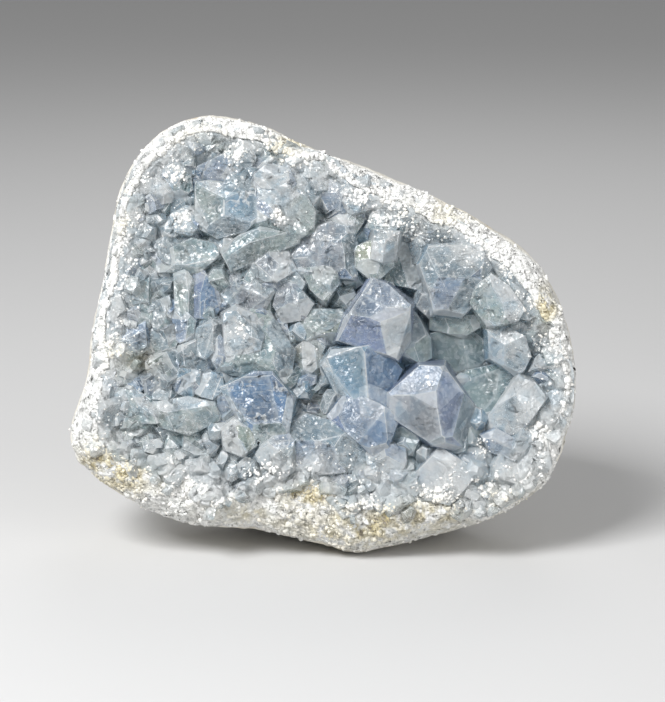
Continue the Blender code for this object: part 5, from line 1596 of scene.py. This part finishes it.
@dataclass
class CrystalCrust:
    """The crust of clear crystals grown together on one bed, sunk a little into the rock to leave no air."""

    form: StoneForm
    bed_segments: int = 160
    bed_rings: int = 36
    step_power: float = 1.6
    bed_thickness: float = 5.0
    bed_overlap: float = 3.0
    bed_lump: float = 0.8
    bed_edge_drop: float = 0.8
    bed_run: float = 6.5
    sunk: float = 0.9
    rim_steps: int = 6
    rim_reach: float = 0.42
    front_limit: float = 22.0
    root_depth: float = 7.0
    view_centre: tuple[float, float] = (3.1, -1.8)
    view_shrink: float = 0.98
    side_flare: float = 0.14
    side_start: float = 2.0
    grown: float = 1.0
    calm_bell: tuple = ((30.0, -14.0), (28.0, 27.0))
    fill_rounds: tuple = ((16, 8.0, 11.0), (44, 5.0, 7.5))
    facets: tuple[int, int] = (4, 9)
    seen_chips: tuple = (5, 0.3, 1.1)
    seen_wear: tuple = (0.08, 0.45)
    rim_pale: tuple = (0.85, 6.0)
    low_pale: tuple = (0.7, -28.0, 14.0)
    seed: int = 4
    finish: CelestiteFinish = field(default_factory=CelestiteFinish)

    def plug_place(self, angle: Array, ring: Array) -> Array:
        """The space that the crust may fill: from just inside the rock, over the rim's top, and out.

        Args:
            angle: Angle round the face.
            ring: Ring number.

        Returns:
            Places in face-frame mm.
        """
        steps, over = self.bed_rings, self.rim_steps
        under = self.form.hollow(angle, np.clip(1 - ring / steps, 0, 1) ** self.step_power, -self.sunk)
        share = 1 - self.rim_reach * np.clip((ring - steps) / over, 0, 1)
        rim = self.form.shoulder(angle, share) - (0.0, 0.0, self.sunk)
        out = ring <= steps + over + 1
        top = rim * out[..., None]
        top[..., 2] = self.front_limit
        shaped = np.where((ring <= steps + over)[..., None], rim, top)
        return np.where((ring < steps)[..., None], under, shaped)

    def bed_place(self, angle: Array, ring: Array) -> Array:
        """The bed under the crystals: a lining that thickens inwards from the rim, over one in the rock.

        Args:
            angle: Angle round the face.
            ring: Ring number.

        Returns:
            Places in face-frame mm.
        """
        steps = self.bed_rings
        under = self.form.hollow(angle, np.clip(1 - ring / steps, 0, 1) ** self.step_power, -self.bed_overlap)
        share = np.clip((ring - steps - 1) / steps, 0, 1) ** self.step_power
        over = self.form.hollow(angle, share, 0.0)
        edge_u, edge_v = self.form.rim_line(angle, -self.bed_overlap)
        first = ring == steps + 1
        over[..., 0] = np.where(first, edge_u, over[..., 0])
        over[..., 1] = np.where(first, edge_v, over[..., 1])
        rim_u, rim_v = self.form.rim_line(angle, 0.0)
        inward = np.hypot(over[..., 0] - rim_u, over[..., 1] - rim_v) * (share > 0)
        sunk = 1 - np.exp(-inward / self.bed_run)
        start = self.form.rim(RIM_LINE_W, angle) - self.bed_edge_drop
        coarse, _ = grains(over, 3.4, 300)
        fine, _ = grains(over, 1.6, 330)
        relief = self.bed_lump * self.form.lumps(over, self.form.lump[1] / 2) + 0.9 * coarse + 0.4 * fine
        over[..., 2] = start + (over[..., 2] + self.bed_thickness - start + relief) * sunk
        return np.where((ring <= steps)[..., None], under, over)

    def closed(self, name: str, rings: int, place: Callable[[Array, Array], Array]) -> Object:
        """A closed surface of rings round two poles, in face-frame millimetres.

        Args:
            name: Name of the new object.
            rings: Steps from pole to pole.
            place: Gives places from angle and ring.

        Returns:
            The object.
        """
        ring, angle = polar_grid(self.bed_segments, rings)
        angle[0] = angle[-1] = 0.0
        points = place(angle, ring)
        loops, counts = closed_grid(self.bed_segments, rings)
        obj = write_mesh(name, pole_to_pole(points), loops, counts)
        store(obj.data, "tint", "CORNER", np.tile(BED_TINT, (len(loops), 1)))
        store(obj.data, "frost", "CORNER", np.full(len(loops), 0.35))
        return obj

    def drawn_in(self, u: float, v: float) -> tuple[float, float]:
        """A point drawn in to the view's centre, because the crystals stand nearer than the rind.

        Args:
            u: Place across the face, in mm.
            v: Place up the face, in mm.

        Returns:
            The drawn-in u and v.
        """
        centre_u, centre_v = self.view_centre
        return centre_u + (u - centre_u) * self.view_shrink, centre_v + (v - centre_v) * self.view_shrink

    def seen_block(self, seen: SeenCrystal, rng: Generator) -> CrystalBlock:
        """A seen crystal: its foot, one side through each edge of its outline, and its front faces.

        Args:
            seen: The crystal as read.
            rng: Random source.

        Returns:
            The block.
        """
        corners = np.array([self.drawn_in(u, v) for u, v in hull_of(seen.outline)])
        middle = corners.mean(axis=0)
        away = corners - middle
        corners = middle + away * (1 + self.grown / np.linalg.norm(away, axis=1)[:, None])
        start = max(face[2] for face in seen.faces) - self.side_start
        u, v = corners.mean(axis=0)
        onward = np.roll(corners, -1, axis=0) - corners
        length = np.linalg.norm(onward, axis=1)
        flare = np.full(len(corners), self.side_flare)
        sides = np.column_stack([onward[:, 1] / length, -onward[:, 0] / length, flare])
        fronts = np.array([(-rise_u, -rise_v, 1.0) for *_, rise_u, rise_v in seen.faces])
        through = np.array([(*self.drawn_in(a, b), w) for a, b, w, *_ in seen.faces])
        foot = float(self.form.floor_w(u, v)) - self.root_depth
        tops = np.column_stack([corners, np.full(len(corners), start)])
        points = np.concatenate([[(u, v, foot)], tops, through])
        normals = np.concatenate([[(0.0, 0.0, -1.0)], sides, fronts])
        normals /= np.linalg.norm(normals, axis=1)[:, None]
        letters = seen.tints[-1] * (1 + len(corners)) + seen.tints[:-1]
        tints = np.array([Tint.of(letter) for letter in letters]) * rng.uniform(0.94, 1.06, (len(letters), 1))
        frost = np.array([0.5 if letter == "W" else 0.12 for letter in letters])
        return CrystalBlock(normals, (normals * points).sum(axis=1), tints, frost)

    def seeded_block(self, place: Array, size: float, shape: float, roll: float, lean: tuple, habit: Habit,
                     foot: float, tint: Array, frost: float) -> CrystalBlock:
        """A seeded crystal: prism, flat sides, roof, ends, a blunt top and its foot, turned to its lean.

        Args:
            place: Tip, in face-frame mm.
            size: Width in mm.
            shape: Thickness as a share of the width.
            roll: Turn about its axis, in degrees.
            lean: Slope along u and v.
            habit: Angles of its faces.
            foot: Height of its foot.
            tint: Colour.
            frost: Frost, 0 to 1.

        Returns:
            The block.
        """
        half_width, half_thick = size / 2, size * shape / 2
        prism, roof, end = (math.radians(a) for a in (habit.prism_deg, habit.roof_deg, habit.end_deg))
        planes = [((0.0, 0.0, 1.0), -habit.blunt * half_width)]
        for side in (-1, 1):
            for other in (-1, 1):
                aim = (side * math.cos(prism), other * math.sin(prism), 0.0)
                planes.append((aim, half_width * math.cos(prism)))
            planes.append(((0.0, side, 0.0), half_thick))
            planes.append(((side * math.sin(roof), 0.0, math.cos(roof)), 0.0))
            aim = (0.0, side * math.sin(end), math.cos(end))
            planes.append((aim, habit.ridge * half_thick * math.sin(end)))
        planes.append(((0.0, 0.0, -1.0), place[2] - foot))
        axis = Vector((*lean, 1.0)).normalized()
        turn = Vector((0.0, 0.0, 1.0)).rotation_difference(axis).to_matrix()
        turn = turn @ Matrix.Rotation(math.radians(roll), 3, "Z")
        normals = np.array([normal for normal, _ in planes]) @ np.array(turn).T
        offsets = np.array([distance for _, distance in planes]) + normals @ place
        return CrystalBlock(normals, offsets, np.tile(tint, (len(planes), 1)), np.full(len(planes), frost))

    def seeded(self) -> list[tuple]:
        """The seeded crystals between the seen ones, as (u, v, w, size, shape, roll, lean, habit).

        Returns:
            One row for each crystal.
        """
        rng = np.random.default_rng(self.seed)
        habits = [habit.value for habit in CrystalHabit]
        taken = []
        for seen in SEEN_CRYSTALS:
            corners = np.array(seen.outline)
            taken.append((*corners.mean(axis=0), 0.9 * float(np.ptp(corners, axis=0).mean())))
        found = []
        for count, least, most in self.fill_rounds:
            made = 0
            for _ in range(6000):
                u, v = rng.uniform(-72.0, 74.0), rng.uniform(-58.0, 66.0)
                size, shape, roll = rng.uniform(least, most), rng.uniform(0.65, 1.0), rng.uniform(0.0, 180.0)
                lean = tuple(rng.uniform(-0.35, 0.35, 2))
                drop, kind = rng.uniform(0.5, 3.5), int(rng.integers(len(habits)))
                angle = math.atan2(v, u)
                inner = float(self.form.radius(angle) - self.form.rim(RIM_WIDTH, angle)) - 0.5 - size / 2
                near = any(math.hypot(u - a, v - b) < 0.37 * (size + s) for a, b, s in taken)
                if near or math.hypot(u, v) > inner:
                    continue
                bed = float(self.form.floor_w(u, v)) + self.bed_thickness
                w = min(self.form.face_w - drop, bed + 1.3 * size)
                taken.append((u, v, size))
                found.append((u, v, w, size, shape, roll, lean, habits[kind]))
                made += 1
                if made == count:
                    break
        return found

    def build(self) -> Object:
        """Joins bed and crystals, trims them to the hollow, keeps the outer skin and dresses it.

        Returns:
            The crust's object.
        """
        rng = np.random.default_rng(self.seed + 1)
        crystals = bpy.data.collections.new("crystals_to_join")
        crust = self.closed("crystal_crust_clear", 2 * self.bed_rings + 1, self.bed_place)
        plug = self.closed("hollow_plug", self.bed_rings + self.rim_steps + 2, self.plug_place)
        blocks = []
        for seen in SEEN_CRYSTALS:
            block = self.seen_block(seen, rng)
            block.facet(rng, self.facets[0] if seen.in_pocket else self.facets[1])
            block.chip(rng, *self.seen_chips)
            block.chamfer(rng, *self.seen_wear)
            blocks.append(block)
        for u, v, w, size, shape, roll, lean, habit in self.seeded():
            tint = np.array(Tint.of("SGBLTPSW"[rng.integers(8)])) * rng.uniform(0.9, 1.1)
            foot = float(self.form.floor_w(u, v)) - self.root_depth
            block = self.seeded_block(np.array([u, v, w]), size, shape, roll, lean, habit, foot, tint, 0.15)
            block.facet(rng, 2)
            block.chip(rng, 3, 0.2, 0.8)
            block.chamfer(rng, 0.06, 0.35)
            blocks.append(block)
        blocks += self.crowd_blocks(rng)
        for number, block in enumerate(blocks):
            obj = block.mesh_object(f"crystal_{number:03d}", rng)
            bpy.context.scene.collection.objects.unlink(obj)
            crystals.objects.link(obj)
        bpy.context.scene.collection.children.link(crystals)
        self.join(crust, "UNION", collection=crystals)
        self.join(crust, "INTERSECT", target=plug)
        for obj in [plug, *crystals.objects]:
            bpy.data.objects.remove(obj)
        bpy.data.collections.remove(crystals)
        self.drop_pockets(crust.data)
        crust.data.validate()
        self.weather(crust.data)
        crust.data.transform(self.form.stance())
        crust.data.shade_flat()
        crust.data.materials.clear()
        crust.data.materials.append(self.finish.material())
        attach(crust, "root")
        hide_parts("crystal_crust")
        LOG.info("crust: %d crystals, %d faces", len(blocks), len(crust.data.polygons))
        return crust

    def weather(self, mesh: Mesh) -> None:
        """Frosts the crystals by the rim and in the lower band, stains them where iron has run, and paints
        shade on them deep down and in the gaps.

        Args:
            mesh: Mesh to change.
        """
        points = numbers(mesh, "vertices", "co", 3)
        loops = numbers(mesh, "loops", "vertex_index", 1, np.int32)
        tint, frost = numbers(mesh, "tint", "color", 4), numbers(mesh, "frost", "value", 1)
        angle = np.arctan2(points[:, 1], points[:, 0])
        room = self.form.radius(angle) - self.form.rim_width(angle) - np.hypot(points[:, 0], points[:, 1])
        strength, run = self.rim_pale
        pale = strength * np.exp(-np.clip(room, 0, None) / run)
        strength, top, run = self.low_pale
        pale = pale + strength * np.clip((top - points[:, 1]) / run, 0, 1)
        pale = (np.clip(pale * (0.95 + 0.9 * fractal(points, 8.0, 3, 600)), 0, 0.95))[loops]
        flat = points[loops][:, :2]
        for a, b, reach in POWDER:
            spot = np.exp(-((((flat - (a, b)) ** 2).sum(axis=1) / (0.9 * reach) ** 2) ** 2))
            pale = np.maximum(pale, spot * np.clip(0.9 + fractal(points, 1.6, 2, 640)[loops], 0, 1))
        rust = 0.8 * MatrixRock.stain(points)[loops]
        middle, reach = self.calm_bell
        calm = np.exp(-((((flat - middle) / reach) ** 2).sum(axis=1) ** 2))
        store(mesh, "calm", "CORNER", calm)
        # Painted shade: the tint darkens where the crust lies deep below the face, and most in the open gaps
        # between the crystals
        level = self.form.face_w - 0.4 * self.form.pocket(points[:, 0], points[:, 1])
        deep = np.clip((level - 2.5 - points[:, 2]) / 4.0, 0, 1)[loops]
        painted_shade = 0.3 * deep
        for a, b, reach, _ in GAPS_WITH_PAINTED_SHADE:
            gap = np.exp(-((((flat - (a, b)) ** 2).sum(axis=1) / (1.1 * reach) ** 2) ** 2))
            painted_shade = np.maximum(painted_shade, 0.85 * gap * np.sqrt(deep))
        # The painted shade darkens the tint and thins the powder on it
        tint[:, :3] *= 1 - painted_shade[:, None]
        pale = pale * (1 - painted_shade)
        tint[:, :3] += (POWDER_WHITE - tint[:, :3]) * pale[:, None]
        tint[:, :3] += (IRON_OCHRE - tint[:, :3]) * rust[:, None]
        brown = np.clip(0.2 + 1.6 * fractal(points, 2.2, 2, 660)[loops], 0, 1)
        brown = brown * np.clip(2.5 * rust - 1.0, 0, 1)
        tint[:, :3] += (IRON_BROWN - tint[:, :3]) * brown[:, None]
        mesh.attributes["tint"].data.foreach_set("color", tint.ravel())
        mesh.attributes["frost"].data.foreach_set("value", np.maximum(frost, 0.8 * pale * (1 - rust)))

    def cover(self, places: Array) -> Array:
        """How far inside a seen crystal's outline each place lies, below 0 outside them all.

        Args:
            places: Tips, in face-frame mm.

        Returns:
            Height for each place.
        """
        depth = np.full(len(places), -np.inf)
        for seen in SEEN_CRYSTALS:
            corners = np.array([self.drawn_in(u, v) for u, v in hull_of(seen.outline)])
            onward = np.roll(corners, -1, axis=0) - corners
            inward = np.stack([-onward[:, 1], onward[:, 0]], axis=1) / np.linalg.norm(onward, axis=1)[:, None]
            inside = (places @ inward.T - (corners * inward).sum(axis=1)).min(axis=1)
            inside = inside + (5.0 if seen.in_pocket else 0.0)
            depth = np.maximum(depth, inside)
        return depth

    def crowd_blocks(self, rng: Generator) -> list[CrystalBlock]:
        """Crystals that crowd the spaces between the seen ones and run up to the rim, larger ones first.

        Args:
            rng: Random source.

        Returns:
            The blocks.
        """
        habits = [habit.value for habit in CrystalHabit]
        blocks = []
        for crowd in CROWDS:
            taken = np.empty((0, 3))
            tries = rng.uniform(TRY_FROM, TRY_TO, (crowd.count * 20, 2))
            angle = np.arctan2(tries[:, 1], tries[:, 0])
            room = self.form.radius(angle) - self.form.rim_width(angle) - np.hypot(*tries.T)
            ragged = 0.6 + 0.4 * soft_noise(np.column_stack([tries, np.zeros(len(tries))]), 9.0, 400)
            fits = (room > -crowd.over_rim * ragged) & (room < crowd.rim_only)
            fits = fits & (self.cover(tries) < crowd.cover)
            for (u, v), edge in zip(tries[fits], room[fits]):
                size = rng.uniform(crowd.least, crowd.most)
                if (np.hypot(taken[:, 0] - u, taken[:, 1] - v) < crowd.spacing * (taken[:, 2] + size)).any():
                    continue
                if len(taken) == crowd.count:
                    break
                taken = np.append(taken, [(u, v, size)], axis=0)
                inward = 1 - math.exp(-max(edge, 0.0) / 5.0)
                gap = sum(
                    depth * math.exp(-((u - a) ** 2 + (v - b) ** 2) / reach**2)
                    for a, b, reach, depth in GAPS_WITH_PAINTED_SHADE
                )
                level = self.form.face_w - 0.4 * float(self.form.pocket(u, v)) - gap
                w = level + 0.8 * (1 - inward) - rng.uniform(crowd.shallow, crowd.deep) * inward
                letter = crowd.tints[rng.integers(len(crowd.tints))]
                block = self.seeded_block(
                    np.array([u, v, w]), size, rng.uniform(0.38, 1.0), rng.uniform(0, 180),
                    tuple(rng.uniform(-crowd.lean, crowd.lean, 2)), habits[rng.integers(4)],
                    w - 1.3 * size - 6.0 * inward,
                    np.array(Tint.of(letter)) * rng.uniform(0.86, 1.12),
                    0.5 if letter == "W" else rng.uniform(0.05, 0.3),
                )
                if size > PLAIN_UNDER:
                    block.facet(rng, 2)
                    block.chip(rng, 3, 0.1, 0.1 * size)
                    block.chamfer(rng, 0.05, 0.28)
                blocks.append(block)
        return blocks

    @staticmethod
    def join(obj: Object, operation: str, target: Object | None = None,
             collection: bpy.types.Collection | None = None) -> None:
        """Applies a Boolean with one object or with a collection.

        Args:
            obj: Object to change.
            operation: Name of the operation.
            target: The one other object.
            collection: The many other objects.
        """
        tool = obj.modifiers.new("join", "BOOLEAN")
        tool.operation, tool.solver = operation, "MANIFOLD"
        if collection is not None:
            tool.operand_type, tool.collection = "COLLECTION", collection
        else:
            tool.object = target
        made = bpy.data.meshes.new_from_object(obj.evaluated_get(bpy.context.evaluated_depsgraph_get()))
        obj.modifiers.clear()
        obj.data = made

    @staticmethod
    def drop_pockets(mesh: Mesh) -> None:
        """Drops skins that face inwards, which are pockets shut in between crystals.

        Every point takes the least number that its edges lead to, which marks its skin. A skin's volume is a
        sixth of the sum of its triangles' corner products, and it is below 0 for a pocket.

        Args:
            mesh: Mesh to change.
        """
        bm = bmesh.new()
        bm.from_mesh(mesh)
        bmesh.ops.dissolve_degenerate(bm, dist=1e-3, edges=bm.edges)
        bmesh.ops.triangulate(bm, faces=bm.faces)
        bm.to_mesh(mesh)
        points = numbers(mesh, "vertices", "co", 3)
        first, second = numbers(mesh, "edges", "vertices", 2, np.int32).T
        label, before = np.arange(len(points)), None
        while before is None or (label != before).any():
            before = label.copy()
            low = np.minimum(label[first], label[second])
            np.minimum.at(label, first, low)
            np.minimum.at(label, second, low)
            label = label[label]
        loops = numbers(mesh, "loops", "vertex_index", 1, np.int32)
        a, b, c = points[loops.reshape(-1, 3)].transpose(1, 0, 2)
        volume = np.bincount(label[loops[::3]], (a * np.cross(b, c)).sum(axis=1), minlength=len(points))
        inner = [vert for vert, mark in zip(bm.verts, label) if volume[mark] <= 0]
        bmesh.ops.delete(bm, geom=inner, context="VERTS")
        bm.to_mesh(mesh)
        bm.free()


@dataclass(frozen=True)
class Crowd:
    """A round of seeded crystals.

    Args:
        count, least, most: how many, and their least and greatest width.
        spacing: least distance between two, as a share of the sum of their widths.
        cover: how far inside a seen crystal's outline one may stand.
        shallow, deep: least and greatest depth of a tip under the face.
        lean: greatest lean.
        over_rim, rim_only: how far over the rim's line and how far inside it they grow.
        tints: letters of the tints to choose from.
    """

    count: int
    least: float
    most: float
    spacing: float
    cover: float
    shallow: float
    deep: float
    lean: float
    over_rim: float
    rim_only: float
    tints: str


CROWDS = (
    Crowd(190, 8.0, 14.0, 0.25, 3.0, 0.6, 4.0, 0.60, -3.0, 99.0, "SGSGTBGDLS"),
    Crowd(230, 5.0, 9.0, 0.34, 2.2, -0.6, 2.4, 0.80, 0.5, 99.0, "SGWLSGSBSTDL"),
    Crowd(420, 2.8, 6.8, 0.32, 0.4, -0.3, 1.6, 0.9, 5.0, 9.0, "WWSGWLSWW"),
)


def hull_of(points: tuple) -> list:
    """The convex outline round some points, anticlockwise from the leftmost one.

    Args:
        points: Corners in any order.

    Returns:
        The outer corners, in order.
    """
    corners = [points[number] for number in convex_hull_2d(points)]
    start = corners.index(min(corners))
    return corners[start:] + corners[:start]


@dataclass
class Studio:
    """A plain pale floor, soft light and the camera at the photograph's angle, straight at the open face."""

    form: StoneForm
    aim: tuple[float, float] = (3.1, -1.8)
    distance: float = 0.70
    lens: float = 123.2
    floor_tone: float = 0.62
    floor_half: float = 3.0
    floor_gap: float = 0.0002
    world_tone: float = 0.30
    lamps: tuple = (
        ("key", (-0.45, -0.55, 0.75), 0.40, 11.5),
        ("fill", (0.65, -0.60, 0.35), 0.60, 2.4),
        ("back", (0.1, 0.6, 0.7), 0.5, 1.2),
    )

    def lamp(self, name: str, place: tuple, size: float, watts: float, target: Vector) -> None:
        """A soft square light that looks at the target.

        Args:
            name: Name of the light.
            place: Where it stands, in metres.
            size: Side of the light, in metres.
            watts: Power.
            target: Where it looks.
        """
        data = bpy.data.lights.new(name, "AREA")
        data.size, data.energy = size, watts
        obj = bpy.data.objects.new(name, data)
        bpy.context.scene.collection.objects.link(obj)
        obj.location = place
        obj.rotation_euler = (target - Vector(place)).to_track_quat("-Z", "Y").to_euler()

    def build(self) -> None:
        """Makes floor, world, lights and camera."""
        scene = bpy.context.scene
        half, drop = self.floor_half, -self.floor_gap
        corners = [(-half, -half, drop), (half, -half, drop), (half, half, drop), (-half, half, drop)]
        corners = np.array(corners)
        floor = write_mesh("floor", corners, np.arange(4), np.array([4]))
        sheet = NodeSheet("pale_floor")
        sheet.show("Base Color", (self.floor_tone,) * 3 + (1.0,))
        sheet.show("Roughness", 0.9)
        floor.data.materials.append(sheet.material)
        scene.world = bpy.data.worlds.new("studio")
        scene.world.use_nodes = True
        scene.world.node_tree.nodes["Background"].inputs[0].default_value = (self.world_tone,) * 3 + (1.0,)
        matrix = self.form.stance()
        target = matrix @ Vector((*self.aim, 0.0))
        out = (matrix.to_3x3() @ Vector((0.0, 0.0, 1.0))).normalized()
        for name, place, size, watts in self.lamps:
            self.lamp(name, place, size, watts, target)
        camera = bpy.data.objects.new("camera", bpy.data.cameras.new("camera"))
        camera.data.lens, camera.data.sensor_width = self.lens, 36.0
        scene.collection.objects.link(camera)
        camera.location = target + out * self.distance
        camera.rotation_euler = (-out).to_track_quat("-Z", "Y").to_euler()
        scene.camera = camera
        scene.view_settings.view_transform = "Standard"


def main() -> None:
    """Builds the stone and the studio round it."""
    logging.basicConfig(level=logging.INFO, format="%(name)s: %(message)s")
    form = StoneForm()
    rock = MatrixRock(form)
    rock.build()
    crust = CrystalCrust(form).build()
    SugarDruse(form).build(rock, crust)
    Studio(form).build()


if __name__ == "__main__":
    main()
